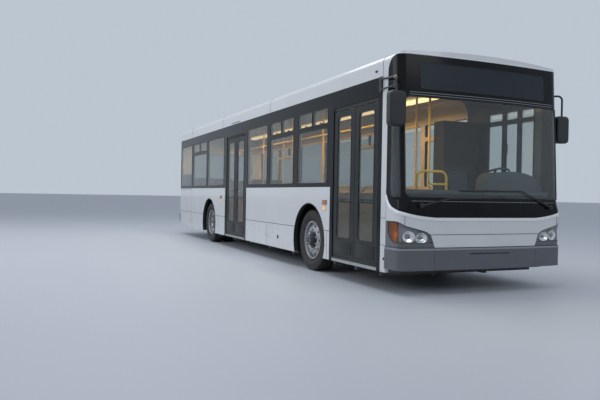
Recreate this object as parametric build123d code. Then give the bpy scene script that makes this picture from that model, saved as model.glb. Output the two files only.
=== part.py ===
from build123d import *
import os
from math import atan2, cos, pi, sin, sqrt

# Millimetres. X points forward, Y to the left, Z up from the road.
# The kerb side, with both doors, is at negative Y.

# Body shell
HALF_W = 1275.0          # half the body width
REAR_X = -5960.0         # rear face
REAR_R = 90.0            # rear upright corners
TAIL_X = -5862.0         # the rear wall with its corners meets the side walls
CAB_X = 5400.0           # side walls end here and the front mask begins
FACE_LOW_X = 5900.0      # front face on the centre line, up to the screen's foot
FACE_TOP_X = 5805.0      # front face on the centre line, at the crown
BOW = 70.0               # how far the front face bows forward of its corners
FRONT_R = 150.0          # front upright corners beside the screen
LOWER_R = 80.0           # front upright corners of the panels below it
LOWER_TOP_Z = 1040.0     # the squarer corners end here
WALL = 60.0              # walls, mask and front panels
SKIRT_Z = 245.0          # lower edge of the side walls
FLAP_Z = 664.0           # seam above the lower flaps
FLAP_SEAMS_X = (1340.0, -1900.0)  # upright seams between flaps, both sides
KERB_SEAM_X = 3880.0
ROAD_SEAM_X = -600.0
ENGINE_FLAP_X = -4526.0  # tall flap beside the engine
ENGINE_FLAP_Z = 1287.0
TAIL_RISE_X = -4500.0    # the underside rises to the rear from here
TAIL_RISE_Z = 355.0      # height it reaches behind the rear face
BELT_Z = 1310.0          # white wall below, dark window band above
CROWN_Z = 2990.0         # roof on the centre line
BAND_TOP_Z = CROWN_Z - 304   # dark band below, white roof cove above
SHOULDER_Z = CROWN_Z - 130   # the side wall starts to turn over
ROOF_KNEE = (HALF_W - 90, CROWN_Z - 42)      # side arc ends and the flatter crown begins
CEILING_Z = CROWN_Z - 150    # ceiling on the centre line
CEILING_HALF_Y = HALF_W - 53     # where its side arcs start, inside the walls
CEILING_FOOT_Z = CEILING_Z - 280
CEILING_KNEE = (HALF_W - 345, CEILING_Z - 60)
SCREEN_FOOT_Z = 1150.0   # the front face leans back above this height
SEAM = 4.0               # width and depth of a panel joint
GAP = 0.3                # clearance of one piece seated on another

# Floor
FLOOR_Z = 285.0          # top of the low floor
FLOOR_T = 40.0
PODIUM_X = -3420.0       # step up behind the rear axle
PODIUM_Z = 625.0
BENCH_X = -5050.0        # front of the rear bench plinth
BENCH_Z = 1000.0
ENGINE_TOP_X = -5450.0   # engine cover rises again behind the bench
ENGINE_TOP_Z = 1340.0
NOSE_RISER_X = (5500.0, 5540.0)  # low step up behind the bumper
NOSE_Z = 345.0

# Wheels and axles
FRONT_AXLE_X = 3220.0
REAR_AXLE_X = -2700.0
TRACK_Y = HALF_W - 185   # middle plane of the outer tyres
TWIN_PITCH = 310.0       # spacing of the twin tyres
TYRE_R = 480.0
TYRE_HALF_W = 138.0
RIM_R = 285.7            # bead seat
ARCH_R = 578.0
BOX_HALF_L = 660.0       # wheel boxes inside the saloon
BOX_TOP_Z = 1100.0
BOX_T = 20.0
FRONT_BOX_Y = 430.0
REAR_BOX_Y = 540.0
KINGPIN_Y = TRACK_Y - 160
KINGPIN_R = 22.0
STUB_R = 30.0            # front stub axle in the hub's bore
SPINDLE_R = 50.0         # rear spindle in the hub's bore
REAR_SPRING_X = -3625.0  # air springs behind the rear axle, under the podium
SPRING_Y = 490.0
SPRING_R = 105.0

# Underfloor frame and engine
FRAME_BAYS_X = [(4000.0, 5350.0), (-1950.0, 2500.0)]
TAIL_BAY_X = (-5850.0, -3780.0)  # behind the rear axle, under the podium
FRAME_Y = 420.0          # middle of each long rail
FRAME_HALF_W = 30.0
FRAME_FOOT_Z = 165.0
TAIL_FRAME_Z = (330.0, 400.0)
CROSS_PITCH = 1100.0     # nearest spacing of the cross members
TAIL_POSTS_X = (-3820.0, -4900.0)
ENGINE_X = (-5780.0, -5140.0)
ENGINE_HALF_Y = 420.0
ENGINE_BLOCK_Z = (400.0, 940.0)

# Doorways: rear edge and front edge along X
DOORWAYS = [("front", 4050.0, 5310.0), ("middle", -1280.0, 40.0)]
DOOR_TOP_Z = 2440.0
DOOR_POST = 90.0         # dark post beside each doorway
LEAF_T = 40.0
LEAF_INSET = 10.0        # leaf face behind the body side
LEAF_BOTTOM_Z = 322.0
LEAF_TOP_Z = 2384.0
JAMB_GAP = 12.0
MEETING_GAP = 10.0
LEAF_RAIL = 105.0        # leaf's edge to its glass
LEAF_GLASS_Z = (590.0, 2300.0)
POST_OVERHANG = 45.0     # post axis beyond the leaf's edge
PIVOT_DEPTH = 58.0       # post and pivot axes behind the leaf's middle plane
PIVOT_Y = -HALF_W + LEAF_INSET + LEAF_T / 2 + PIVOT_DEPTH
POST_R = 20.0
ARM_T = 16.0
ARM_HALF_W = 14.0
ARM_CLEAR = 6.0          # between the arm and the leaf's end
PIN_R = 6.0
BRACKET_T = 8.0          # plate on the leaf that carries the pivot pin
BRACKET_HALF = 25.0
HANDLE_Z = 1100.0        # bar across the inside of each leaf
HANDLE_R = 12.0
HANDLE_DEPTH = 55.0
HANDLE_BEND = 30.0

# Side glass: rear edge, front edge; a hopper has an opening top light
WINDOW_FOOT_Z = 1370.0
WINDOW_TOP_Z = 2480.0
KERB_WINDOWS = [(2750.0, 3855.0), (1460.0, 2560.0), (170.0, 1310.0),
                (-2870.0, -1490.0), (-4390.0, -3000.0), (-5820.0, -4520.0)]
ROAD_WINDOWS = [(2750.0, 3910.0), (1460.0, 2630.0), (100.0, 1340.0),
                (-1370.0, -20.0), (-2870.0, -1490.0), (-4390.0, -3000.0), (-5820.0, -4520.0)]
DRIVER_WINDOWS = [(5090.0, 5370.0), (4780.0, 5049.0), (4400.0, 4736.0)]
DRIVER_BAR_Z = (2300.0, 2359.0)
HOPPER_FOOT_Z = 2190.0   # bar under the opening top lights
HOPPER_TOP_Z = 2260.0
HOPPER_MULLION = 24.0    # upright between the two top lights
KERB_HOPPERS = (0, 1, 4)  # windows with top lights, counted from the front
ROAD_HOPPERS = (0, 2, 5)
WINDOW_R = 50.0
HOPPER_R = 25.0
PANE_T = 8.0
PANE_INSET = 2.0

# Front mask
BUMPER_FOOT_Z = 300.0
BUMPER_TOP_Z = 568.0
BUMPER_PROUD = 12.0
BUMPER_SEAM_Y = 800.0
BUMPER_SLOT_Y = (-300.0, 330.0)
BUMPER_SLOT_Z = (488.0, 500.0)
BUMPER_SLOT_DEPTH = 30.0
STRIP_X = 5520.0         # white pillar strip behind, dark mask in front
SMILE_Z = 929.0          # lower edge of the dark mask on the centre line
SMILE_HALF_Y = 870.0
SMILE_MID = (1077.0, 957.0)   # the mask's foot curves up through this point
SMILE_END = (1315.0, 1010.0)
MASK_FOOT = (5840.0, 985.0)   # side view: where the smile meets the straight run
MASK_KNEE = (5650.0, 1054.0)  # the straight run ends and the rear corner's arc begins
MASK_ARC_MID = (5555.0, 1144.0)
MASK_REAR_Z = 1270.0          # the arc ends at the white strip
MASK_TOP_R = 200.0       # its upper rear corner in side view
HEADER_Z = 2450.0        # joint between screen surround and destination header
HEADER_TOP_Z = CROWN_Z - 72
SCREEN_HALF_Y = HALF_W - 80
SCREEN_FOOT = 1185.0
SCREEN_TOP = 2400.0
SCREEN_R = 70.0
CORNER_GLASS_Y = HALF_W - 35
CORNER_GLASS_X = 5590.0
CORNER_GLASS_FOOT_R = 120.0
CORNER_GLASS_TOP_R = 40.0
SIGN_HALF_Y = 980.0
SIGN_FOOT_Z = 2500.0
SIGN_TOP_Z = 2820.0
SIGN_R = 40.0
PANEL_SEAM_Z = 730.0
LAMP_FOOT_Z = 634.0
LAMP_FOOT_R = 170.0      # lower rear corner of the amber lens
LAMP_EDGE = [(816.0, LAMP_FOOT_Z), (858.0, 731.0), (919.0, 768.0), (1205.0, 839.0), (1305.0, 905.0)]  # y, z
AMBER_X = 5792.0         # amber lens behind, clear lens in front
LAMP_REAR_X = 5576.0

# Amber side markers on both walls: x range, z range
MARKERS = [((3700.0, 3865.0), (1047.0, 1117.0)), ((3745.0, 3820.0), (960.0, 1030.0)),
           ((-1770.0, -1610.0), (1070.0, 1140.0)), ((-1730.0, -1650.0), (955.0, 1025.0))]
MARKER_T = 8.0

# Rear
ENGINE_LID_HALF_Y = 850.0
ENGINE_LID_FOOT_Z = 620.0
ENGINE_LID_TOP_Z = 1290.0
REAR_GLASS_HALF_Y = 950.0
REAR_GLASS_FOOT_Z = 1450.0
REAR_GLASS_TOP_Z = 2350.0
REAR_LAMP_Y = (960.0, 1140.0)
REAR_LAMP_Z = (700.0, 1240.0)
REAR_LAMP_DEPTH = 45.0
REAR_BUMPER_FOOT_Z = 362.0
REAR_BUMPER_TOP_Z = 590.0
LOUVRES_Z = range(720, 1100, 60)  # foot of each louvre slot in the engine lid
LOUVRE_H = 30.0
LOUVRE_HALF_Y = 500.0
LOUVRE_DEPTH = 12.0
LID_GAP = 8.0
LID_T = 40.0
LID_AXIS_Z = ENGINE_LID_TOP_Z - LID_GAP
HINGE_R = 7.0
HINGE_PAD_Z = 25.0       # hinge's wall plate above the opening
HINGE_Y = 500.0          # middle of each hinge
HINGE_HALF = 30.0        # half the lid's knuckle

# Roof hatches: middle along X
HATCHES = [("roof_hatch_front", 2300.0), ("roof_hatch_rear", -2500.0)]
HATCH_HALF_X = 300.0
HATCH_HALF_Y = 340.0
HATCH_LIP = 45.0
HATCH_T = 34.0
HATCH_CLEAR = 10.0       # plug to opening
HATCH_HINGE_BACK = 14.0  # hinge axis behind the lid's rear edge
HATCH_HINGE_UP = 12.0    # hinge axis above the crown
HATCH_HINGE_R = 8.0
HATCH_HINGE_Y = 200.0    # middle of each hinge
HATCH_HINGE_HALF = 25.0  # half the lid's knuckle

# Driver's cab, on the left behind the dash
DRIVER_Y = 716.0
STEERING_X = 5139.0      # middle of the steering wheel
STEERING_Z = 1497.0
STEERING_TILT = 28.0
STEERING_R = 225.0
COLUMN_L = 700.0
CAB_REAR_X = FRONT_AXLE_X + BOX_HALF_L + 50.0
CAB_WALL_T = 40.0
CAB_INNER_Y = 110.0      # cab wall beside the aisle
CAB_WALL_Z = 1250.0
CAB_DOOR_X = 5250.0
CABINET_X = 4190.0       # full-height cabinet behind the driver
CABINET_Y = 560.0
CABINET_Z = 2380.0
CAB_FLOOR_Z = 700.0
DASH_X = 5640.0          # rear of the shelf across the front
DASH_FRONT_X = 5720.0
DASH_HALF_Y = HALF_W - 115
DASH_TOP_Z = 1280.0
DASH_LIP = 70.0
BINNACLE_X = 5400.0      # rear of the binnacle over the instruments
# The binnacle's outline, y and z from its inner foot over its dome to its outer foot
BINNACLE = [(190.0, 1270.0), (190.0, 1390.0), (240.0, 1480.0), (400.0, 1525.0), (600.0, 1545.0),
            (800.0, 1530.0), (1010.0, 1455.0), (DASH_HALF_Y - 20, 1330.0), (DASH_HALF_Y - 20, 1270.0)]
DASH_SHELF_X = 5330.0    # rear of the driver's dash
DASH_FOOT_X = 5440.0
DASH_KNEE_Z = (1000.0, 1060.0, 1200.0)

# Seats
SEAT_W = 430.0
SEAT_L = 450.0
SEAT_Z = 425.0           # seat top above its floor
SEAT_T = 35.0
BACK_Z = 960.0           # back's top above its floor
BACK_RAKE = 90.0
PAD_T = 42.0
# Passenger seats: x of the back's foot, y of the middle, height of the floor beneath
SEATS = [(x, y, FLOOR_Z) for x in (440.0, 1190.0, 1940.0) for y in (-970.0, -520.0)]
SEATS += [(x, y, FLOOR_Z) for x in (-1700.0, -950.0, -200.0, 550.0, 1300.0, 2050.0) for y in (520.0, 970.0)]
SEATS += [(x, y, PODIUM_Z) for x in (-4700.0, -3950.0) for y in (-970.0, -520.0, 520.0, 970.0)]
BENCH_SEAT_Z = BENCH_Z - 390     # the bench seats stand lower than legs would put them
SEATS += [(-5360.0, y, BENCH_SEAT_Z) for y in (-970.0, -480.0, 0.0, 480.0, 970.0)]
DRIVER_SEAT = (CABINET_X + 140, DRIVER_Y, CAB_FLOOR_Z)

# Poles, overhead rails and the guard behind the screen
RAIL_R = 17.0
RAIL_Y = 330.0
POLES = [(-1850.0, RAIL_Y), (360.0, RAIL_Y), (1862.0, RAIL_Y), (-1440.0, -RAIL_Y), (300.0, -RAIL_Y),
         (1750.0, -RAIL_Y), (3780.0, -RAIL_Y), (3780.0, RAIL_Y), (4500.0, 70.0)]
RAIL_Z = 2300.0
RAIL_ENDS_X = (-4800.0, 3800.0)
GUARD_Z = 1515.0         # guard between the front door and the screen
GUARD_OUTER = (5560.0, -856.0)
GUARD_INNER = (5600.0, -441.0)
GUARD_MID = (5577.0, -690.0)
GUARD_BAR_Z = 1352.0

# Light strips under the ceiling
STRIP_HALF_X = 5200.0
STRIP_Y = (600.0, 740.0)
STRIP_Z = (2400.0, 2900.0)
STRIP_T = 25.0

# Mirrors: middle of the housing, half its width and height
KERB_MIRROR = {"x": 5945.0, "y": -1414.0, "z": 2210.0, "half_w": 112.0, "half_h": 205.0}
ROAD_MIRROR = {"x": 5705.0, "y": 1397.0, "z": 2144.0, "half_w": 105.0, "half_h": 186.0}
MIRROR_HALF_T = 45.0
MIRROR_TUBE_R = 13.0
MIRROR_STAY_R = 10.0
# Kerb-side arm: plate beside the front door, roots of tube and stay, the tube's bend
ARM_PLATE_X = (5340.0, 5398.0)
ARM_PLATE_Z = (2490.0, 2680.0)
ARM_PLATE_T = 24.0
ARM_ROOT = (5370.0, -1287.0, 2655.0)
ARM_BEND = (5890.0, -1396.0, 2590.0)
STAY_ROOT = (5370.0, -1287.0, 2525.0)
STAY_TIP = (5915.0, -1402.0, 2490.0)

# Wipers: Y and Z of the pivot, of the blade's outer end and of its inner end
WIPERS = [((-1000.0, 1085.0), (-620.0, 1172.0), (230.0, 1190.0)),
          ((1040.0, 1078.0), (528.0, 1279.0), (-440.0, 1272.0))]
WIPER_ARM_R = 9.0
WIPER_BLADE_R = 12.0

# Ranges that reach past the whole body
X_ALL = (REAR_X - 50.0, FACE_LOW_X + 100.0)
Y_ALL = (-HALF_W - 60.0, HALF_W + 60.0)
Z_ALL = (150.0, CROWN_Z + 60.0)
Y_KERB = (-HALF_W - 60.0, 0.0)
Y_ROAD = (0.0, HALF_W + 60.0)


def block(x, y, z):
    """A box between the ends of three ranges."""
    size = Box(abs(x[1] - x[0]), abs(y[1] - y[0]), abs(z[1] - z[0]))
    return Pos((x[0] + x[1]) / 2, (y[0] + y[1]) / 2, (z[0] + z[1]) / 2) * size


def both_sides(shape):
    """The shape and its mirror image about the centre plane."""
    return shape + mirror(shape, about=Plane.XZ)


def along_x(points, x0, x1):
    """A prism from a front-view outline of (y, z) points."""
    wire = Polyline(*[(x0, y, z) for y, z in points], close=True)
    return extrude(make_face(wire), x1 - x0, dir=(1, 0, 0))


def along_y(points, y0, y1):
    """A prism from a side-view outline of (x, z) points."""
    wire = Polyline(*[(x, y0, z) for x, z in points], close=True)
    return extrude(make_face(wire), y1 - y0, dir=(0, 1, 0))


def rounded_x(y, z, radius, x0, x1):
    """A rounded rectangle in front view, pushed along X."""
    sketch = RectangleRounded(y[1] - y[0], z[1] - z[0], radius)
    place = Plane((x0, (y[0] + y[1]) / 2, (z[0] + z[1]) / 2), x_dir=(0, 1, 0), z_dir=(1, 0, 0))
    return extrude(place * sketch, x1 - x0)


def rounded_y(x, z, radius, y0, y1):
    """A rounded rectangle in side view, pushed along Y."""
    sketch = RectangleRounded(x[1] - x[0], z[1] - z[0], radius)
    place = Plane(((x[0] + x[1]) / 2, y0, (z[0] + z[1]) / 2), x_dir=(1, 0, 0), z_dir=(0, -1, 0))
    return extrude(place * sketch, -(y1 - y0))


def rod_y(x, z, radius, y0, y1):
    """A cylinder along Y."""
    place = Plane((x, y0, z), x_dir=(1, 0, 0), z_dir=(0, 1, 0))
    return extrude(place * Circle(radius), y1 - y0)


def rod_z(x, y, radius, z0, z1):
    """A cylinder along Z."""
    return Pos(x, y, z0) * extrude(Circle(radius), z1 - z0)


def tube(path, radius):
    """A round bar along a path."""
    start = Plane(origin=path @ 0, z_dir=path % 0)
    return sweep(start * Circle(radius), path=path)


def tube_path(points, bend, radius):
    """A round bar along straight runs joined by arcs of one radius."""
    return tube(FilletPolyline(*points, radius=bend), radius)


BOW_R = (HALF_W**2 + BOW**2) / (2 * BOW)


def face_x(z):
    """X of the front face on the centre line at height z."""
    lean = (FACE_LOW_X - FACE_TOP_X) / (CROWN_Z - SCREEN_FOOT_Z)
    return FACE_LOW_X - lean * max(0.0, z - SCREEN_FOOT_Z)


def surface_x(y, z):
    """X of the bowed front face at (y, z), between its corners."""
    return face_x(z) - BOW_R + sqrt(BOW_R**2 - y**2)


def plan_outline(z, inset):
    """The body's outline seen from above: flat sides, bowed front, rounded corners."""
    front = face_x(z) - BOW_R
    half, rear = HALF_W - inset, REAR_X + inset
    corner_r = FRONT_R if z > LOWER_TOP_Z else LOWER_R
    corner_y = HALF_W - corner_r
    corner_x = front + sqrt((BOW_R - corner_r)**2 - corner_y**2)
    turn = atan2(corner_y, corner_x - front)
    rear_r, front_r, bow_r = REAR_R - inset, corner_r - inset, BOW_R - inset

    def at(cx, cy, radius, angle):
        return (cx + radius * cos(angle), cy + radius * sin(angle), z)

    def arc(cx, cy, radius, a0, a1):
        return ThreePointArc(at(cx, cy, radius, a0), at(cx, cy, radius, (a0 + a1) / 2),
                             at(cx, cy, radius, a1))

    rear_cx, rear_cy = REAR_X + REAR_R, HALF_W - REAR_R
    edges = [
        Line((rear_cx, -half, z), (corner_x, -half, z)),
        arc(corner_x, -corner_y, front_r, -pi / 2, -turn),
        arc(front, 0, bow_r, -turn, turn),
        arc(corner_x, corner_y, front_r, turn, pi / 2),
        Line((corner_x, half, z), (rear_cx, half, z)),
        arc(rear_cx, rear_cy, rear_r, pi / 2, pi),
        Line((rear, rear_cy, z), (rear, -rear_cy, z)),
        arc(rear_cx, -rear_cy, rear_r, pi, 3 * pi / 2),
    ]
    return make_face(edges)


def envelope(inset):
    """The body's plan outline carried up, rounder and leaning back above the screen's foot."""
    heights = [Z_ALL[0], LOWER_TOP_Z, SCREEN_FOOT_Z, Z_ALL[1]]
    return loft([plan_outline(z, inset) for z in heights], ruled=True)


def section(half, foot, spring, knee, crown):
    """A cross-section: upright sides, a knee arc each side and a crown arc."""
    knee_y, knee_z = knee
    mid = (half - (half - knee_y) * 0.3, spring + (knee_z - spring) * 0.68)
    edges = [
        Line((0, -half, foot), (0, -half, spring)),
        ThreePointArc((0, -half, spring), (0, -mid[0], mid[1]), (0, -knee_y, knee_z)),
        ThreePointArc((0, -knee_y, knee_z), (0, 0, crown), (0, knee_y, knee_z)),
        ThreePointArc((0, knee_y, knee_z), (0, mid[0], mid[1]), (0, half, spring)),
        Line((0, half, spring), (0, half, foot)),
        Line((0, half, foot), (0, -half, foot)),
    ]
    face = Pos(X_ALL[0], 0, 0) * make_face(edges)
    return extrude(face, X_ALL[1] - X_ALL[0], dir=(1, 0, 0))


def ceiling(drop):
    """The saloon's air space, its ceiling lowered by drop."""
    return section(CEILING_HALF_Y - drop, Z_ALL[0] - 1, CEILING_FOOT_Z - drop,
                   (CEILING_KNEE[0], CEILING_KNEE[1] - drop), CEILING_Z - drop)


outer_section = section(HALF_W, SKIRT_Z, SHOULDER_Z, ROOF_KNEE, CROWN_Z)
outer_envelope = envelope(0)
outer_body = outer_envelope & outer_section
saloon = envelope(WALL) & ceiling(0)
shell = outer_body - saloon
skin = outer_body - envelope(PANE_T)

# The underside of the tail rises to the rear
tail_cut = along_y([(TAIL_RISE_X, SKIRT_Z - 50), (TAIL_RISE_X, SKIRT_Z), (REAR_X - 60, TAIL_RISE_Z),
                    (REAR_X - 60, SKIRT_Z - 50)], *Y_ALL)


def mask_region():
    """The dark front mask: smile-shaped foot, rounded rear corners in side view."""
    side, top = HALF_W + 40, HEADER_TOP_Z
    foot = [
        Line((0, -SMILE_HALF_Y, SMILE_Z), (0, SMILE_HALF_Y, SMILE_Z)),
        ThreePointArc((0, SMILE_HALF_Y, SMILE_Z), (0, *SMILE_MID), (0, *SMILE_END)),
        Line((0, *SMILE_END), (0, SMILE_END[0], Z_ALL[1])),
        Line((0, SMILE_END[0], Z_ALL[1]), (0, -SMILE_END[0], Z_ALL[1])),
        Line((0, -SMILE_END[0], Z_ALL[1]), (0, -SMILE_END[0], SMILE_END[1])),
        ThreePointArc((0, -SMILE_END[0], SMILE_END[1]), (0, -SMILE_MID[0], SMILE_MID[1]),
                      (0, -SMILE_HALF_Y, SMILE_Z)),
    ]
    front_view = extrude(Pos(CAB_X, 0, 0) * make_face(foot), X_ALL[1] - CAB_X, dir=(1, 0, 0))
    top_r, low, ahead = MASK_TOP_R, SMILE_Z - 60, X_ALL[1]
    knee = top_r * (1 - sqrt(0.5))
    outline = [
        Line((STRIP_X, -side, top - top_r), (STRIP_X, -side, MASK_REAR_Z)),
        ThreePointArc((STRIP_X, -side, MASK_REAR_Z), (MASK_ARC_MID[0], -side, MASK_ARC_MID[1]),
                      (MASK_KNEE[0], -side, MASK_KNEE[1])),
        Line((MASK_KNEE[0], -side, MASK_KNEE[1]), (MASK_FOOT[0], -side, MASK_FOOT[1])),
        Line((MASK_FOOT[0], -side, MASK_FOOT[1]), (MASK_FOOT[0], -side, low)),
        Line((MASK_FOOT[0], -side, low), (ahead, -side, low)),
        Line((ahead, -side, low), (ahead, -side, top)),
        Line((ahead, -side, top), (STRIP_X + top_r, -side, top)),
        ThreePointArc((STRIP_X + top_r, -side, top), (STRIP_X + knee, -side, top - knee),
                      (STRIP_X, -side, top - top_r)),
    ]
    side_view = extrude(make_face(outline), 2 * side, dir=(0, 1, 0))
    return front_view & side_view


mask = mask_region()
front_end = block((CAB_X, X_ALL[1]), Y_ALL, Z_ALL)


def screen_opening():
    """The three windscreen openings: one wide pane and two narrow corner panes."""
    main = rounded_x((-SCREEN_HALF_Y, SCREEN_HALF_Y), (SCREEN_FOOT, SCREEN_TOP), SCREEN_R, CAB_X, X_ALL[1])
    corner = block((CORNER_GLASS_X, X_ALL[1] + 200), (-HALF_W - 40, -CORNER_GLASS_Y),
                   (SCREEN_FOOT, SCREEN_TOP))
    rear_edges = corner.edges().filter_by(Axis.Y).group_by(Axis.X)[0].sort_by(Axis.Z)
    corner = fillet(rear_edges[0], CORNER_GLASS_FOOT_R)
    rear_edges = corner.edges().filter_by(Axis.Y).sort_by(Axis.Z)[-2:]
    corner = fillet(rear_edges.sort_by(Axis.X)[0], CORNER_GLASS_TOP_R)
    return main + both_sides(corner)


def lamp_region(gap=0.0):
    """The headlamp unit in front view, with its slanted top edge."""
    foot = LAMP_FOOT_Z + gap
    points = [(LAMP_EDGE[0][0] + gap, foot)] + [(y + gap, z - gap) for y, z in LAMP_EDGE[1:]]
    points.append((LAMP_EDGE[-1][0] + gap, foot))
    unit = along_x(points, LAMP_REAR_X + gap, X_ALL[1])
    unit = fillet(unit.edges().filter_by(Axis.Y).sort_by(Axis.X)[0], LAMP_FOOT_R - gap)
    return both_sides(unit)


def make_front():
    """Front dome, mask, screen, sign, panel, bumper and lamps, all cut from the one shell."""
    front = shell & front_end
    strip = block((CAB_X, STRIP_X), Y_ALL, (SKIRT_Z, BAND_TOP_Z))
    cap = block((CAB_X, X_ALL[1]), Y_ALL, (BAND_TOP_Z, Z_ALL[1]))
    dome = (front & (strip + cap)) - mask
    below_header = block((CAB_X, X_ALL[1]), Y_ALL, (SMILE_Z - 100, HEADER_Z))
    above_header = block((CAB_X, X_ALL[1]), Y_ALL, (HEADER_Z, HEADER_TOP_Z + 50))
    surround = (front & mask & below_header) - screen_opening()
    sign_hole = rounded_x((-SIGN_HALF_Y, SIGN_HALF_Y), (SIGN_FOOT_Z, SIGN_TOP_Z), SIGN_R,
                          CAB_X, X_ALL[1])
    header = (front & mask & above_header) - sign_hole
    sign = (outer_body - envelope(WALL / 2)) & front_end & sign_hole
    screen = skin & front_end & screen_opening()

    panel_zone = block((STRIP_X, X_ALL[1]), Y_ALL, (BUMPER_TOP_Z, MASK_REAR_Z))
    panel = (front & panel_zone) - mask - lamp_region()
    centre_seam = block((FACE_LOW_X - 100, X_ALL[1]), (-LAMP_EDGE[1][0], LAMP_EDGE[1][0]),
                        (PANEL_SEAM_Z, PANEL_SEAM_Z + SEAM))
    bumper_seam = block((STRIP_X, X_ALL[1]), Y_ALL, (BUMPER_TOP_Z, BUMPER_TOP_Z + SEAM))
    panel = panel - ((outer_body - envelope(SEAM)) & (centre_seam + bumper_seam))

    bumper_band = (envelope(-BUMPER_PROUD) - envelope(WALL)) & front_end
    bumper_z = (BUMPER_FOOT_Z, BUMPER_TOP_Z)
    bumper = bumper_band & block((STRIP_X, X_ALL[1]), Y_ALL, bumper_z)
    for side in (-1, 1):
        edge = side * BUMPER_SEAM_Y
        bumper = bumper - block((CAB_X + 200, X_ALL[1]), (edge - SEAM / 2, edge + SEAM / 2), Z_ALL)
    bumper = bumper - block((FACE_LOW_X - BUMPER_SLOT_DEPTH, X_ALL[1]), BUMPER_SLOT_Y, BUMPER_SLOT_Z)

    lens = front & lamp_region(GAP)
    clear = lens & block((AMBER_X + 2, X_ALL[1]), Y_ALL, Z_ALL)
    amber = lens & block((LAMP_REAR_X, AMBER_X - 2), Y_ALL, Z_ALL)
    return dome, surround, header, sign, screen, panel, bumper, clear, amber


def make_door_frames():
    """Dark uprights on both sides of each doorway and the head panel over it."""
    frames = None
    y = (-HALF_W, -HALF_W + WALL)
    for _, x0, x1 in DOORWAYS:
        head = block((x0 + GAP, x1 - GAP), y, (DOOR_TOP_Z, BAND_TOP_Z))
        frames = head if frames is None else frames + head
        for a, b in ((x0 - DOOR_POST, x0), (x1, x1 + DOOR_POST)):
            frames = frames + block((a, b), y, (SKIRT_Z, BAND_TOP_Z))
    return frames


def make_side_wall(side):
    """White lower wall of one side, with arches, flap seams and doorways cut."""
    y_half = Y_KERB if side < 0 else Y_ROAD
    wall = shell & block((TAIL_X, CAB_X), y_half, (SKIRT_Z, BELT_Z))
    for axle in (FRONT_AXLE_X, REAR_AXLE_X):
        wall = wall - rod_y(axle, TYRE_R, ARCH_R, *y_half)
    wall = wall - tail_cut
    groove_y = (side * HALF_W - SEAM, side * HALF_W + SEAM)
    seams = FLAP_SEAMS_X + (ENGINE_FLAP_X, KERB_SEAM_X if side < 0 else ROAD_SEAM_X)
    grooves = [block((x, x + SEAM), groove_y, (SKIRT_Z - SEAM, FLAP_Z)) for x in seams]
    grooves.append(block((REAR_X, CAB_X), groove_y, (FLAP_Z, FLAP_Z + SEAM)))
    grooves.append(block((ENGINE_FLAP_X, ENGINE_FLAP_X + SEAM), groove_y, (FLAP_Z, ENGINE_FLAP_Z + SEAM)))
    grooves.append(block((REAR_X, ENGINE_FLAP_X + SEAM), groove_y, (ENGINE_FLAP_Z, ENGINE_FLAP_Z + SEAM)))
    for groove in grooves:
        wall = wall - groove
    if side < 0:
        for _, x0, x1 in DOORWAYS:
            wall = wall - block((x0 - DOOR_POST, x1 + DOOR_POST), y_half, (SKIRT_Z - SEAM, BELT_Z + SEAM))
    return wall


def window_lights(side):
    """Each glazed opening of one side as (x range, z range, corner radius)."""
    windows, hoppers = (KERB_WINDOWS, KERB_HOPPERS) if side < 0 else (ROAD_WINDOWS, ROAD_HOPPERS)
    lights = []
    for i, (x0, x1) in enumerate(windows):
        if i not in hoppers:
            lights.append(((x0, x1), (WINDOW_FOOT_Z, WINDOW_TOP_Z), WINDOW_R))
            continue
        mid = (x0 + x1) / 2
        lights.append(((x0, x1), (WINDOW_FOOT_Z, HOPPER_FOOT_Z), WINDOW_R))
        lights.append(((x0, mid - HOPPER_MULLION / 2), (HOPPER_TOP_Z, WINDOW_TOP_Z), HOPPER_R))
        lights.append(((mid + HOPPER_MULLION / 2, x1), (HOPPER_TOP_Z, WINDOW_TOP_Z), HOPPER_R))
    for x in DRIVER_WINDOWS if side > 0 else []:
        lights.append((x, (WINDOW_FOOT_Z, DRIVER_BAR_Z[0]), HOPPER_R))
        lights.append((x, (DRIVER_BAR_Z[1], WINDOW_TOP_Z), HOPPER_R))
    return lights


def make_window_band(side):
    """Dark window frames of one side, between the door frames on the kerb side."""
    y_half = Y_KERB if side < 0 else Y_ROAD
    band = shell & block((TAIL_X, CAB_X), y_half, (BELT_Z, BAND_TOP_Z))
    if side < 0:
        for _, x0, x1 in DOORWAYS:
            band = band - block((x0 - DOOR_POST, x1 + DOOR_POST), y_half, (BELT_Z - SEAM, BAND_TOP_Z + SEAM))
    for x, z, radius in window_lights(side):
        band = band - rounded_y(x, z, radius, *y_half)
    return band


def make_panes():
    """Side and rear panes, each filling its opening just inside the outer face."""
    panes = rounded_x((-REAR_GLASS_HALF_Y, REAR_GLASS_HALF_Y), (REAR_GLASS_FOOT_Z, REAR_GLASS_TOP_Z),
                      WINDOW_R, REAR_X + PANE_INSET, REAR_X + PANE_INSET + PANE_T)
    for side in (-1, 1):
        outer = side * (HALF_W - PANE_INSET)
        inner = side * (HALF_W - PANE_INSET - PANE_T)
        for x, z, radius in window_lights(side):
            panes = panes + rounded_y(x, z, radius, min(outer, inner), max(outer, inner))
    return panes


def hatch_hinge(x):
    """X and Z of a roof hatch's hinge axis, behind the lid."""
    return x - HATCH_HALF_X - HATCH_LIP - HATCH_HINGE_BACK, CROWN_Z + HATCH_HINGE_UP


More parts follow.
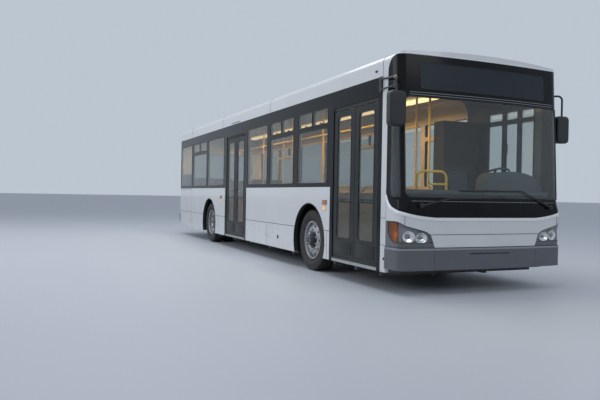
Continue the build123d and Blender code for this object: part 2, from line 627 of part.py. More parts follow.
def make_roof():
    """Roof shell behind the front dome, with two hatch openings and their hinge lugs."""
    roof = shell & block((REAR_X, CAB_X), Y_ALL, (BAND_TOP_Z, Z_ALL[1]))
    for _, x in HATCHES:
        roof = roof - block((x - HATCH_HALF_X, x + HATCH_HALF_X), (-HATCH_HALF_Y, HATCH_HALF_Y),
                            (CEILING_KNEE[1], Z_ALL[1]))
        axis_x, axis_z = hatch_hinge(x)
        for hinge_y in (-HATCH_HINGE_Y, HATCH_HINGE_Y):
            for end in (-1, 1):
                near = hinge_y + end * (HATCH_HINGE_HALF + GAP)
                y = sorted((near, near + end * HATCH_HINGE_HALF))
                roof = roof + rod_y(axis_x, axis_z, HATCH_HINGE_R, *y)
                roof = roof + block((axis_x - HATCH_HINGE_R, axis_x), y, (CROWN_Z - PANE_T, axis_z))
    return roof


def make_hatch(x):
    """A flat hatch lid with its plug, hinged behind its rear edge."""
    rear_x = x - HATCH_HALF_X - HATCH_LIP
    lid = block((rear_x, x + HATCH_HALF_X + HATCH_LIP), (-HATCH_HALF_Y - HATCH_LIP, HATCH_HALF_Y + HATCH_LIP),
                (CROWN_Z + GAP, CROWN_Z + GAP + HATCH_T))
    lid = fillet(lid.edges().filter_by(Axis.Z), HATCH_LIP - 5)
    lid = chamfer(lid.faces().sort_by(Axis.Z)[-1].edges(), HATCH_T / 3)
    plug_x = HATCH_HALF_X - HATCH_CLEAR
    plug_y = HATCH_HALF_Y - HATCH_CLEAR
    plug = block((x - plug_x, x + plug_x), (-plug_y, plug_y), (CROWN_Z - HATCH_T, CROWN_Z + GAP))
    axis_x, axis_z = hatch_hinge(x)
    for hinge_y in (-HATCH_HINGE_Y, HATCH_HINGE_Y):
        y = (hinge_y - HATCH_HINGE_HALF, hinge_y + HATCH_HINGE_HALF)
        lid = lid + rod_y(axis_x, axis_z, HATCH_HINGE_R, *y)
        lid = lid + block((axis_x, rear_x + HATCH_T), y, (axis_z, axis_z + HATCH_HINGE_R))
    return lid + plug


def make_rear_wall():
    """Rear wall with its corners, window, engine opening and lid hinges."""
    wall = shell & block((REAR_X, TAIL_X), Y_ALL, (REAR_BUMPER_TOP_Z, BAND_TOP_Z))
    through = (X_ALL[0], REAR_X + 2 * REAR_R)
    wall = wall - rounded_x((-REAR_GLASS_HALF_Y, REAR_GLASS_HALF_Y),
                            (REAR_GLASS_FOOT_Z, REAR_GLASS_TOP_Z), WINDOW_R, *through)
    wall = wall - block(through, (-ENGINE_LID_HALF_Y, ENGINE_LID_HALF_Y), (ENGINE_LID_FOOT_Z, ENGINE_LID_TOP_Z))
    wall = wall - rear_lamp_region(0)
    for y in wall_knuckles():
        wall = wall + rod_y(REAR_X, LID_AXIS_Z, HINGE_R, *y)
        wall = wall + block((REAR_X - HINGE_R, REAR_X), y, (LID_AXIS_Z, ENGINE_LID_TOP_Z + HINGE_PAD_Z))
    return wall


def make_rear_bumper():
    """Plastic rear bumper, wrapped round both corners under the engine lid."""
    band = envelope(-BUMPER_PROUD) - envelope(WALL)
    return band & block((X_ALL[0], TAIL_X), Y_ALL, (REAR_BUMPER_FOOT_Z, REAR_BUMPER_TOP_Z))


def wall_knuckles():
    """Y ranges of the rear wall's hinge knuckles, one each side of each lid knuckle."""
    ranges = []
    for hinge_y in (-HINGE_Y, HINGE_Y):
        for end in (-1, 1):
            near = hinge_y + end * (HINGE_HALF + GAP)
            ranges.append(sorted((near, near + end * HINGE_HALF)))
    return ranges


def rear_lamp_region(gap):
    """Upright lamp clusters at both rear corners."""
    lamp = block((X_ALL[0], REAR_X + REAR_LAMP_DEPTH - gap), (REAR_LAMP_Y[0] + gap, REAR_LAMP_Y[1] - gap),
                 (REAR_LAMP_Z[0] + gap, REAR_LAMP_Z[1] - gap))
    return both_sides(lamp)


def make_engine_lid():
    """Louvred engine lid, hinged along its top edge."""
    lid = block((REAR_X, REAR_X + LID_T), (-ENGINE_LID_HALF_Y + LID_GAP, ENGINE_LID_HALF_Y - LID_GAP),
                (ENGINE_LID_FOOT_Z + LID_GAP, LID_AXIS_Z))
    for z in LOUVRES_Z:
        lid = lid - block((REAR_X - 1, REAR_X + LOUVRE_DEPTH), (-LOUVRE_HALF_Y, LOUVRE_HALF_Y),
                          (z, z + LOUVRE_H))
    for y0, y1 in wall_knuckles():
        lid = lid - rod_y(REAR_X, LID_AXIS_Z, HINGE_R + 1, y0 - GAP, y1 + GAP)
    for y in (-HINGE_Y, HINGE_Y):
        lid = lid + rod_y(REAR_X, LID_AXIS_Z, HINGE_R, y - HINGE_HALF, y + HINGE_HALF)
    return lid


def wheel_well(side, axle, inner_y):
    """The air space of one wheel box."""
    y = (inner_y + BOX_T, HALF_W + 60)
    y = y if side > 0 else (-y[1], -y[0])
    return block((axle - BOX_HALF_L + BOX_T, axle + BOX_HALF_L - BOX_T), y, (100, BOX_TOP_Z - BOX_T))


def make_wheel_boxes():
    boxes = None
    for axle, inner_y in ((FRONT_AXLE_X, FRONT_BOX_Y), (REAR_AXLE_X, REAR_BOX_Y)):
        for side in (-1, 1):
            y = (inner_y, HALF_W - WALL)
            y = y if side > 0 else (-y[1], -y[0])
            box = block((axle - BOX_HALF_L, axle + BOX_HALF_L), y, (SKIRT_Z, BOX_TOP_Z))
            box = box - wheel_well(side, axle, inner_y)
            boxes = box if boxes is None else boxes + box
    return boxes


def make_floor():
    """Stepped floor: low saloon, rear podium, bench plinth and engine cover."""
    top = [(CAB_X - 20, FLOOR_Z), (PODIUM_X, FLOOR_Z), (PODIUM_X, PODIUM_Z), (BENCH_X, PODIUM_Z),
           (BENCH_X, BENCH_Z), (ENGINE_TOP_X, BENCH_Z), (ENGINE_TOP_X, ENGINE_TOP_Z),
           (REAR_X, ENGINE_TOP_Z)]
    under = [(x - FLOOR_T if x < CAB_X - 100 else x, z - FLOOR_T) for x, z in reversed(top)]
    under[0] = (REAR_X, ENGINE_TOP_Z - FLOOR_T)
    floor = along_y(top + under, *Y_ALL) & saloon
    for axle, inner_y in ((FRONT_AXLE_X, FRONT_BOX_Y), (REAR_AXLE_X, REAR_BOX_Y)):
        for side in (-1, 1):
            y = (inner_y, HALF_W) if side > 0 else (-HALF_W, -inner_y)
            floor = floor - block((axle - BOX_HALF_L, axle + BOX_HALF_L), y, (FLOOR_Z - 100, FLOOR_Z + 100))
    riser_rear = NOSE_RISER_X[0]
    platform = block((CAB_X - 20, riser_rear - GAP), Y_ALL, (FLOOR_Z - FLOOR_T, FLOOR_Z)) & saloon
    nose = (block(NOSE_RISER_X, Y_ALL, (FLOOR_Z - FLOOR_T, NOSE_Z))
            + block((riser_rear, X_ALL[1]), Y_ALL, (NOSE_Z - FLOOR_T, NOSE_Z))) & saloon
    return floor + platform + nose


def make_sills():
    """Ribbed metal sills under both doorways."""
    sills = None
    for _, x0, x1 in DOORWAYS:
        sill = block((x0, x1), (-HALF_W, -HALF_W + WALL), (SKIRT_Z, FLOOR_Z))
        for row in range(3):
            z = SKIRT_Z + 8 + 10 * row
            sill = sill - block((x0 - 1, x1 + 1), (-HALF_W - 1, -HALF_W + 3), (z, z + 5))
        sills = sill if sills is None else sills + sill
    return sills


def make_chassis():
    """Underfloor frame: rails and cross members in three bays between the axles."""
    frame = None
    half = FRAME_HALF_W
    bays = [(x, (FRAME_FOOT_Z, FLOOR_Z - FLOOR_T)) for x in FRAME_BAYS_X] + [(TAIL_BAY_X, TAIL_FRAME_Z)]
    for (x0, x1), (foot, top) in bays:
        for side in (-1, 1):
            rail = block((x0, x1), (side * FRAME_Y - half, side * FRAME_Y + half), (foot, top))
            frame = rail if frame is None else frame + rail
        count = max(2, round((x1 - x0) / CROSS_PITCH))
        for i in range(count + 1):
            x = x0 + half + (x1 - x0 - 2 * half) * i / count
            frame = frame + block((x - half, x + half), (-HALF_W + WALL, HALF_W - WALL), (top - 2 * half, top))
    for side in (-1, 1):
        for x in TAIL_POSTS_X:
            frame = frame + block((x - half, x + half), (side * FRAME_Y - half, side * FRAME_Y + half),
                                  (TAIL_FRAME_Z[1], PODIUM_Z - FLOOR_T))
    return frame


def make_engine():
    """The engine as one plain block on the rear rails."""
    return block(ENGINE_X, (-ENGINE_HALF_Y, ENGINE_HALF_Y), ENGINE_BLOCK_Z)


def tyre(side, middle_y):
    """One tyre: a ring with bulged walls and rounded shoulders."""
    half, bead = TYRE_HALF_W, RIM_R + GAP
    tread_y, wall_z = half - 22, 385.0
    edges = [
        Line((0, -98, bead), (0, 98, bead)),
        Line((0, 98, bead), (0, 98, 306)),
        ThreePointArc((0, 98, 306), (0, half, wall_z), (0, half - 8, 446)),
        ThreePointArc((0, half - 8, 446), (0, half - 16, 464), (0, tread_y, TYRE_R - 6)),
        ThreePointArc((0, tread_y, TYRE_R - 6), (0, 0, TYRE_R), (0, -tread_y, TYRE_R - 6)),
        ThreePointArc((0, -tread_y, TYRE_R - 6), (0, -half + 16, 464), (0, -half + 8, 446)),
        ThreePointArc((0, -half + 8, 446), (0, -half, wall_z), (0, -98, 306)),
        Line((0, -98, 306), (0, -98, bead)),
    ]
    ring = revolve(make_face(edges), axis=Axis.Y)
    return Pos(0, side * middle_y, TYRE_R) * ring


def rim(side, front):
    """Steel wheel: barrel, dished disc with hand holes, hub flange."""
    barrel = [(-106, 300), (-99, RIM_R), (99, RIM_R), (106, 300), (113, 300), (113, 278), (97, 272),
              (-97, 272), (-113, 278), (-113, 300)]
    if front:
        disc = [(60, 273), (78, 255), (96, 225), (104, 180), (100, 110), (100, 60), (88, 60), (88, 176),
                (82, 218), (62, 245), (45, 273)]
        hub = [(100, 60), (100, 105), (125, 105), (128, 92), (170, 80), (174, 40), (174, 0), (50, 0),
               (50, STUB_R + GAP), (-40, STUB_R + GAP), (-40, 60), (88, 60)]
    else:
        disc = [(60, 273), (50, 250), (20, 225), (-52, 205), (-60, 180), (-60, 60), (-74, 60), (-74, 190),
                (-68, 216), (8, 240), (40, 273)]
        hub = [(-60, 60), (-60, 140), (-20, 140), (-15, 120), (60, 95), (66, 40), (66, 0), (-160, 0),
               (-160, 60), (-74, 60)]

    def ring(points):
        wire = Polyline(*[(0, y, r) for y, r in points], close=True)
        return revolve(make_face(wire), axis=Axis.Y)

    wheel = ring(barrel) + ring(disc) + ring(hub)
    holes = 10
    for i in range(holes):
        angle = 2 * pi * i / holes
        wheel = wheel - rod_y(232 * cos(angle), 232 * sin(angle), 22, -80, 110)
    if side < 0:
        wheel = mirror(wheel, about=Plane.XZ)
    return wheel


def front_wheel(side):
    return Pos(FRONT_AXLE_X, side * TRACK_Y, TYRE_R) * rim(side, True)


def rear_wheel(side):
    inner = Pos(0, side * (TRACK_Y - TWIN_PITCH), 0) * rim(-side, False)
    outer = Pos(0, side * TRACK_Y, 0) * rim(side, False)
    bore = rod_y(0, 0, SPINDLE_R + GAP, side * 700, side * 800)
    return Pos(REAR_AXLE_X, 0, TYRE_R) * (outer + inner - bore)


def knuckle(side):
    """Fork around the axle eye, king pin and stub axle."""
    x, pin_y = FRONT_AXLE_X, side * KINGPIN_Y
    lugs = None
    for z0, z1 in ((355.0, 395.0), (565.0, 605.0)):
        lug = rod_z(x, pin_y, 45, z0, z1)
        lug = lug + block((x - 45, x + 45), (pin_y, side * 1012), (z0, z1))
        lugs = lug if lugs is None else lugs + lug
    web = block((x - 60, x + 60), (side * 984, side * 1012), (355, 605))
    pin = rod_z(x, pin_y, KINGPIN_R - GAP, 350, 610)
    stub = rod_y(x, TYRE_R, STUB_R, side * 1012, side * (TRACK_Y + 45))
    return lugs + web + pin + stub


def make_front_axle():
    """Dropped beam with an eye round each king pin and an air spring on each shoulder."""
    half = [(0, 235), (600, 235), (760, 530), (KINGPIN_Y, 530), (KINGPIN_Y, 430), (830, 430), (680, 150),
            (0, 150)]
    beam = both_sides(along_x(half, FRONT_AXLE_X - 45, FRONT_AXLE_X + 45))
    for side in (-1, 1):
        y = side * KINGPIN_Y
        beam = beam + rod_z(FRONT_AXLE_X, y, 44, 400, 560)
        beam = beam - rod_z(FRONT_AXLE_X, y, KINGPIN_R, 390, 570)
        bellows = rod_z(FRONT_AXLE_X, side * 555, 90, 235, 560)
        perch = block((FRONT_AXLE_X - 70, FRONT_AXLE_X + 70),
                      (side * (FRONT_BOX_Y + BOX_T), side * 650), (560, 580))
        beam = beam + bellows + perch
    return beam


def make_rear_axle():
    """Low portal axle: bridge under the aisle, end housings and spindles."""
    half = [(0, 235), (575, 235), (575, 600), (628, 600), (628, 140), (0, 140)]
    bridge = both_sides(along_x(half, REAR_AXLE_X - 60, REAR_AXLE_X + 60))
    bridge = bridge + block((REAR_AXLE_X - 170, REAR_AXLE_X + 170), (-430, -130), (130, 235))
    for side in (-1, 1):
        bridge = bridge + rod_y(REAR_AXLE_X, TYRE_R, SPINDLE_R, side * 620, side * 795)
        y = side * SPRING_Y
        bridge = bridge + block((REAR_SPRING_X - 90, REAR_AXLE_X), (y - 30, y + 30), (165, 235))
        bridge = bridge + rod_z(REAR_SPRING_X, y, SPRING_R, 235, PODIUM_Z - FLOOR_T)
    return bridge


def on_column(shape):
    """Moves a shape from the steering column's own axes to its place in the cab."""
    return Pos(STEERING_X, DRIVER_Y, STEERING_Z) * Rot(0, -STEERING_TILT, 0) * shape


def make_steering_wheel():
    """Rim, three spokes and hub, on a column that leans towards the driver."""
    wheel = Torus(STEERING_R, 14) + Pos(0, 0, -14) * Cylinder(55, 40)
    for i in range(3):
        wheel = wheel + Rot(0, 0, 90 + 120 * i) * Pos(115, 0, -6) * Box(215, 34, 12)
    return on_column(wheel)


def make_dashboard():
    """Shelf across the front, the driver's dash, its domed binnacle and the steering column."""
    shelf = block((DASH_X, DASH_FRONT_X), (-DASH_HALF_Y, DASH_HALF_Y), (DASH_TOP_Z - DASH_LIP, DASH_TOP_Z))
    shelf = fillet(shelf.edges().filter_by(Axis.Y).sort_by(Axis.X)[-2:], DASH_LIP / 3)
    lining = block((DASH_X, DASH_X + CAB_WALL_T), (-DASH_HALF_Y, DASH_HALF_Y), (NOSE_Z, DASH_TOP_Z - DASH_LIP))
    profile = [(DASH_FOOT_X, NOSE_Z), (DASH_FOOT_X, DASH_KNEE_Z[0]), (DASH_SHELF_X, DASH_KNEE_Z[1]),
               (DASH_SHELF_X, DASH_KNEE_Z[2]), (BINNACLE_X, DASH_TOP_Z), (DASH_X, DASH_TOP_Z), (DASH_X, NOSE_Z)]
    dash = along_y(profile, CAB_INNER_Y + CAB_WALL_T, DASH_HALF_Y)
    edge = [(BINNACLE_X, y, z) for y, z in BINNACLE]
    dome = [Line(edge[0], edge[1])]
    dome += [ThreePointArc(*edge[i:i + 3]) for i in (1, 3, 5)]
    dome += [Line(edge[7], edge[8]), Line(edge[8], edge[0])]
    binnacle = extrude(make_face(dome), DASH_X - BINNACLE_X, dir=(1, 0, 0))
    column = on_column(Pos(0, 0, -34 - GAP - COLUMN_L / 2) * Cylinder(32, COLUMN_L))
    return (shelf + lining + dash + binnacle + column) & saloon


def make_cab_partition():
    """Driver's platform, the low walls round it and the cabinet behind the driver."""
    inner = (CAB_INNER_Y, CAB_INNER_Y + CAB_WALL_T)
    outer_y = HALF_W - WALL
    front = CAB_REAR_X + CAB_WALL_T
    rear_wall = block((CAB_REAR_X, front), (CAB_INNER_Y, outer_y), (FLOOR_Z, CAB_WALL_Z))
    side_wall = block((front, CAB_DOOR_X), inner, (FLOOR_Z, CAB_WALL_Z))
    cabinet = block((CAB_REAR_X, CABINET_X), (CABINET_Y, outer_y), (FLOOR_Z, CABINET_Z))
    platform = block((front, CAB_X), (inner[1], outer_y), (FLOOR_Z, CAB_FLOOR_Z))
    return rear_wall + side_wall + cabinet + platform


def seat_shell(x, y, z):
    """Moulded seat shell: raked back and level seat."""
    knee_x, knee_z = x + 50, z + SEAT_Z
    profile = [(x, z + SEAT_Z - SEAT_T), (x + SEAT_L, z + SEAT_Z - SEAT_T), (x + SEAT_L, knee_z),
               (knee_x, knee_z), (knee_x - BACK_RAKE, z + BACK_Z), (knee_x - BACK_RAKE - SEAT_T, z + BACK_Z)]
    return along_y(profile, y - SEAT_W / 2, y + SEAT_W / 2)


def seat_pads(x, y, z):
    """Seat and back cushions, just clear of the shell."""
    knee_x, knee_z = x + 50, z + SEAT_Z
    half = SEAT_W / 2 - 15
    seat = block((knee_x + 20, x + SEAT_L - 5), (y - half, y + half), (knee_z + GAP, knee_z + GAP + PAD_T))
    rake = BACK_RAKE / (BACK_Z - SEAT_Z)
    foot, top = 65.0, BACK_Z - SEAT_Z - 30
    line = [(knee_x - rake * foot + GAP, knee_z + foot), (knee_x - rake * top + GAP, knee_z + top)]
    front = [(a + PAD_T, b) for a, b in reversed(line)]
    back = along_y(line + front, y - half, y + half)
    return seat, back


def make_seats():
    shells = None
    for x, y, z in SEATS + [DRIVER_SEAT]:
        seat = seat_shell(x, y, z)
        if z != BENCH_SEAT_Z:
            seat = seat + block((x + 150, x + 290), (y - 60, y + 60), (z, z + SEAT_Z - SEAT_T))
        shells = seat if shells is None else shells + seat
    return shells


def make_pads():
    pads = []
    for x, y, z in SEATS + [DRIVER_SEAT]:
        pads += list(seat_pads(x, y, z))
    return Compound(children=[Part(p.wrapped) for p in pads])


def make_rails():
    """Yellow poles from floor to ceiling, two overhead rails and the front guard."""
    rails = None
    for x, y in POLES:
        pole = rod_z(x, y, RAIL_R, FLOOR_Z, CEILING_Z) & saloon
        rails = pole if rails is None else rails + pole
    for y in (-RAIL_Y, RAIL_Y):
        rail = Plane((RAIL_ENDS_X[0], y, RAIL_Z), z_dir=(1, 0, 0)) * Circle(RAIL_R)
        rails = rails + extrude(rail, RAIL_ENDS_X[1] - RAIL_ENDS_X[0])
    hoop = [(*GUARD_OUTER, NOSE_Z), (*GUARD_OUTER, GUARD_Z), (*GUARD_INNER, GUARD_Z), (*GUARD_INNER, NOSE_Z)]
    bar = [(*GUARD_MID, GUARD_Z), (*GUARD_MID, GUARD_BAR_Z), (*GUARD_INNER, GUARD_BAR_Z)]
    return rails + tube_path(hoop, 90, RAIL_R) + tube_path(bar, 50, RAIL_R - 4)


def make_lamps():
    """Two light strips along the ceiling."""
    band = (ceiling(0) - ceiling(STRIP_T)) & envelope(WALL)
    strip = block((-STRIP_HALF_X, STRIP_HALF_X), STRIP_Y, STRIP_Z)
    return band & both_sides(strip)


def door_leaf(x_low, x_high):
    """One leaf with its window cut, its handle and the brackets that carry its pivots."""
    y_out = -HALF_W + LEAF_INSET
    y_in = y_out + LEAF_T
    leaf = block((x_low, x_high), (y_out, y_in), (LEAF_BOTTOM_Z, LEAF_TOP_Z))
    glass_x = (x_low + LEAF_RAIL, x_high - LEAF_RAIL)
    leaf = leaf - rounded_y(glass_x, LEAF_GLASS_Z, WINDOW_R, y_out - 5, y_in + 5)
    pane = rounded_y(glass_x, LEAF_GLASS_Z, WINDOW_R, y_out + 4, y_out + 4 + PANE_T)
    root, reach = LEAF_RAIL / 2, y_in + HANDLE_DEPTH
    handle = [(x_low + root, y_in - PANE_T, HANDLE_Z), (x_low + root, reach, HANDLE_Z),
              (x_high - root, reach, HANDLE_Z), (x_high - root, y_in - PANE_T, HANDLE_Z)]
    leaf = leaf + tube_path(handle, HANDLE_BEND, HANDLE_R)
    pivot_x, pivot_y = leaf_pivot(x_low, x_high)
    ends = ((LEAF_TOP_Z - BRACKET_T, LEAF_TOP_Z, LEAF_TOP_Z + ARM_CLEAR + ARM_T),
            (LEAF_BOTTOM_Z, LEAF_BOTTOM_Z - ARM_CLEAR - ARM_T, LEAF_BOTTOM_Z))
    for plate_z, pin_low, pin_high in ends:
        plate = block((pivot_x - BRACKET_HALF, pivot_x + BRACKET_HALF), (y_in, pivot_y + POST_R),
                      (plate_z, plate_z + BRACKET_T))
        leaf = leaf + plate + rod_z(pivot_x, pivot_y, PIN_R, pin_low, pin_high)
    return leaf, pane


def leaf_pivot(x_low, x_high):
    """X and Y of the pivot behind the middle of the leaf."""
    return (x_low + x_high) / 2, PIVOT_Y


def post_axis(x_low, x_high, post_low):
    """X and Y of the turning post, just beyond the leaf's hinged edge."""
    return (x_low - POST_OVERHANG if post_low else x_high + POST_OVERHANG), PIVOT_Y


def door_post(x_low, x_high, post_low):
    """Turning post with an arm over the leaf and one under it."""
    x, y = post_axis(x_low, x_high, post_low)
    pivot_x, _ = leaf_pivot(x_low, x_high)
    top, low = LEAF_TOP_Z + ARM_CLEAR, LEAF_BOTTOM_Z - ARM_CLEAR - ARM_T
    post = rod_z(x, y, POST_R, FLOOR_Z + GAP, top + ARM_T)
    for z in (top, low):
        arm = block((min(x, pivot_x), max(x, pivot_x)), (y - ARM_HALF_W, y + ARM_HALF_W), (z, z + ARM_T))
        arm = arm + rod_z(pivot_x, y, ARM_HALF_W, z, z + ARM_T)
        arm = arm - rod_z(pivot_x, y, PIN_R + GAP, z - 1, z + ARM_T + 1)
        post = post + arm
    return post


def mirror_housing(place):
    """A rounded mirror housing with a softer front."""
    half_w, half_h = place["half_w"], place["half_h"]
    housing = rounded_x((place["y"] - half_w, place["y"] + half_w), (place["z"] - half_h, place["z"] + half_h),
                        55, place["x"] - MIRROR_HALF_T, place["x"] + MIRROR_HALF_T)
    return fillet(housing.faces().sort_by(Axis.X)[-1].edges(), 30)


def make_mirrors():
    """Kerb-side mirror on a bent tube with a stay, road-side mirror on one tube."""
    x, y, top = KERB_MIRROR["x"], KERB_MIRROR["y"], KERB_MIRROR["z"] + KERB_MIRROR["half_h"] - 15
    kerb = mirror_housing(KERB_MIRROR) + tube_path([ARM_ROOT, ARM_BEND, (x - 8, y, top)], 80, MIRROR_TUBE_R)
    kerb = kerb + tube(Line(STAY_ROOT, STAY_TIP), MIRROR_STAY_R)
    kerb = kerb + block(ARM_PLATE_X, (-HALF_W - ARM_PLATE_T, -HALF_W), ARM_PLATE_Z)
    x, y, top = ROAD_MIRROR["x"], ROAD_MIRROR["y"], ROAD_MIRROR["z"] + ROAD_MIRROR["half_h"] - 15
    arm = [(5560, 1242, 2610), (x, y, 2610), (x, y, top)]
    road = mirror_housing(ROAD_MIRROR) + tube_path(arm, 60, MIRROR_TUBE_R)
    return (kerb + road) - outer_body


def make_wipers():
    """Two wipers parked low across the screen's foot."""
    def at(y, z, lift):
        return (surface_x(y, z) + lift, y, z)

    pieces = None
    for pivot, outer, inner in WIPERS:
        hub = Plane(at(*pivot, -3), z_dir=(1, 0, 0)) * Circle(28)
        arm = Line(at(*pivot, 30), at(*outer, 30))
        mid = ((outer[0] + inner[0]) / 2, (outer[1] + inner[1]) / 2)
        blade = ThreePointArc(at(*outer, 22), at(*mid, 22), at(*inner, 22))
        piece = extrude(hub, 45)
        piece = piece + tube(arm, WIPER_ARM_R) + tube(blade, WIPER_BLADE_R)
        pieces = piece if pieces is None else pieces + piece
    return pieces - outer_body


def make_markers():
    """Amber side markers on both walls."""
    marks = None
    for side in (-1, 1):
        y = sorted((side * HALF_W, side * (HALF_W + MARKER_T)))
        for x, z in MARKERS:
            mark = block(x, y, z)
            marks = mark if marks is None else marks + mark
    return marks


parts = {}
(parts["front_dome"], parts["screen_surround"], parts["front_header"], parts["sign_screen"],
 parts["windscreen"], parts["front_panel"], parts["front_bumper"], parts["headlamps"],
 amber_lenses) = make_front()
parts["amber_lamps"] = amber_lenses + make_markers()
parts["side_wall_right"] = make_side_wall(-1)
parts["side_wall_left"] = make_side_wall(1)
parts["window_band_right"] = make_window_band(-1)
parts["window_band_left"] = make_window_band(1)
parts["door_frames"] = make_door_frames()
parts["side_glass"] = make_panes()
parts["roof"] = make_roof()
parts["rear_wall"] = make_rear_wall()
parts["rear_bumper"] = make_rear_bumper()
parts["tail_lamps"] = shell & rear_lamp_region(GAP)
parts["floor"] = make_floor()
parts["wheel_boxes"] = make_wheel_boxes()
parts["door_sills"] = make_sills()
parts["chassis_frame"] = make_chassis()
parts["engine_block"] = make_engine()
parts["front_axle"] = make_front_axle()
parts["rear_axle"] = make_rear_axle()
parts["dashboard"] = make_dashboard()
parts["cab_partition"] = make_cab_partition()
parts["seat_shells"] = make_seats()
parts["seat_pads"] = make_pads()
parts["grab_rails"] = make_rails()
parts["ceiling_lamps"] = make_lamps()
parts["mirrors"] = make_mirrors()
parts["wipers"] = make_wipers()
parts["engine_lid"] = make_engine_lid()
parts["steering_wheel"] = make_steering_wheel()
for name, x in HATCHES:
    parts[name] = make_hatch(x)

for name, x0, x1 in DOORWAYS:
    meeting = (x0 + x1) / 2
    leaves = (("rear", x0 + JAMB_GAP, meeting - MEETING_GAP / 2, True),
              ("front", meeting + MEETING_GAP / 2, x1 - JAMB_GAP, False))
    for place, x_low, x_high, post_low in leaves:
        label = f"{name}_{place}"
        parts[f"door_leaf_{label}"], parts[f"door_glass_{label}"] = door_leaf(x_low, x_high)
        parts[f"door_post_{label}"] = door_post(x_low, x_high, post_low)

for side, hand in ((-1, "right"), (1, "left")):
    parts[f"tyre_front_{hand}"] = Pos(FRONT_AXLE_X, 0, 0) * tyre(side, TRACK_Y)
    twins = tyre(side, TRACK_Y) + tyre(side, TRACK_Y - TWIN_PITCH)
    parts[f"tyres_rear_{hand}"] = Pos(REAR_AXLE_X, 0, 0) * twins
    parts[f"wheel_front_{hand}"] = front_wheel(side)
    parts[f"wheels_rear_{hand}"] = rear_wheel(side)
    parts[f"knuckle_{hand}"] = knuckle(side)

os.makedirs("parts", exist_ok=True)
for name, shape in parts.items():
    export_step(shape, f"parts/{name}.step")
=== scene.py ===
from cmath import phase, rect
from math import atan2, cos, hypot, pi, sin, sqrt

import bmesh
import bpy
from mathutils import Matrix, Vector


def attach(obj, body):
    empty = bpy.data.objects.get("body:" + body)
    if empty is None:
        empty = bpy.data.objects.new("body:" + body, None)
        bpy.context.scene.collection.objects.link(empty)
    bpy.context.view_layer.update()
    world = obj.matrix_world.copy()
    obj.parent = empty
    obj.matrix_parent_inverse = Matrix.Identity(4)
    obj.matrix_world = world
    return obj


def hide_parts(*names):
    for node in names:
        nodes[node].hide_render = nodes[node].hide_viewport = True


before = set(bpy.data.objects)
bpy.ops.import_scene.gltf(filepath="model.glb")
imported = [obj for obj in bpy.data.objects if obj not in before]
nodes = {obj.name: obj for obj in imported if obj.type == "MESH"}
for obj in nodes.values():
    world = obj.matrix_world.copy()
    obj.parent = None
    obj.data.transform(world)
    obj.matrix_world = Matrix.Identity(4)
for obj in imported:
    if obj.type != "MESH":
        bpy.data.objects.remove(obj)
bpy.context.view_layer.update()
scene = bpy.context.scene

# Sizes that several sections share, in metres
HALF_W, FACE_X, REAR_X = 1.275, 5.9, -5.96
FRONT_END_X, CAB_START_X = 5.524, 3.93
FRONT_AXLE_X, REAR_AXLE_X, AXLE_Z, TRACK_Y = 3.22, -2.7, 0.48, 1.09
DOOR_LEAVES = ("front_front", "front_rear", "middle_front", "middle_rear")

# View
# The bus stands on a pale studio floor and is seen from its front right corner at chest height.
# A cool even sky fills the shadows, and three soft boxes shape the roof edge, the side and the front.
EYE = Vector((12.037, -5.277, 1.186))
YAW, PITCH, ROLL = 0.41171, -0.008294, 0.018018
LENS, SENSOR = 36.88, 36.0
PALE_SKY = (0.5, 0.56, 0.63, 1.0)

ahead = Vector((-cos(YAW) * cos(PITCH), sin(YAW) * cos(PITCH), sin(PITCH)))
level = ahead.cross(Vector((0, 0, 1))).normalized()
above = level.cross(ahead)
right, up = cos(ROLL) * level + sin(ROLL) * above, cos(ROLL) * above - sin(ROLL) * level
camera_data = bpy.data.cameras.new("camera")
camera_data.lens = LENS
camera_data.sensor_width = SENSOR
camera_data.clip_end = 500.0
camera = bpy.data.objects.new("camera", camera_data)
camera.matrix_world = Matrix.Translation(EYE) @ Matrix((right, up, -ahead)).transposed().to_4x4()
scene.collection.objects.link(camera)
scene.camera = camera
scene.view_settings.view_transform = "Standard"


def node(tree, kind, inputs=(), **settings):
    """A shader node with its options set, and its inputs wired or set by name."""
    made = tree.nodes.new("ShaderNode" + kind)
    for name, value in settings.items():
        setattr(made, name, value)
    for name, value in dict(inputs).items():
        if isinstance(value, bpy.types.NodeSocket):
            tree.links.new(value, made.inputs[name])
        else:
            made.inputs[name].default_value = value
    return made


def sums(tree, kind, *values):
    """One arithmetic node's result."""
    return node(tree, "Math", dict(enumerate(values)), operation=kind).outputs[0]


def product(tree, result, *others):
    """All the values multiplied."""
    for other in others:
        result = sums(tree, "MULTIPLY", result, other)
    return result


def ramp(tree, value, start, end, low=0.0, high=1.0, kind="LINEAR"):
    """A value carried over from between start and end to between low and high."""
    limits = {"From Min": start, "From Max": end, "To Min": low, "To Max": high}
    return node(tree, "MapRange", {"Value": value, **limits}, interpolation_type=kind).outputs[0]


def blend(tree, share, first, second):
    """A mix of two colours, each of them an output or red, green and blue."""
    ends = [end if isinstance(end, bpy.types.NodeSocket) else (*end, 1.0) for end in (first, second)]
    return node(tree, "MixRGB", {"Fac": share, "Color1": ends[0], "Color2": ends[1]}).outputs[0]


def coords(tree):
    """Object coordinates."""
    return node(tree, "TexCoord").outputs["Object"]


def axes(tree):
    """X, Y and Z of the object coordinates."""
    return node(tree, "SeparateXYZ", {0: coords(tree)}).outputs


def noise(tree, scale, detail, **inputs):
    """A noise texture's value, in object coordinates unless it has a Vector."""
    given = {"Vector": coords(tree), "Scale": scale, "Detail": detail, **inputs}
    return node(tree, "TexNoise", given).outputs["Fac"]


def wire(tree, *pairs):
    """Links each output to its input."""
    for source, target in pairs:
        tree.links.new(source, target)


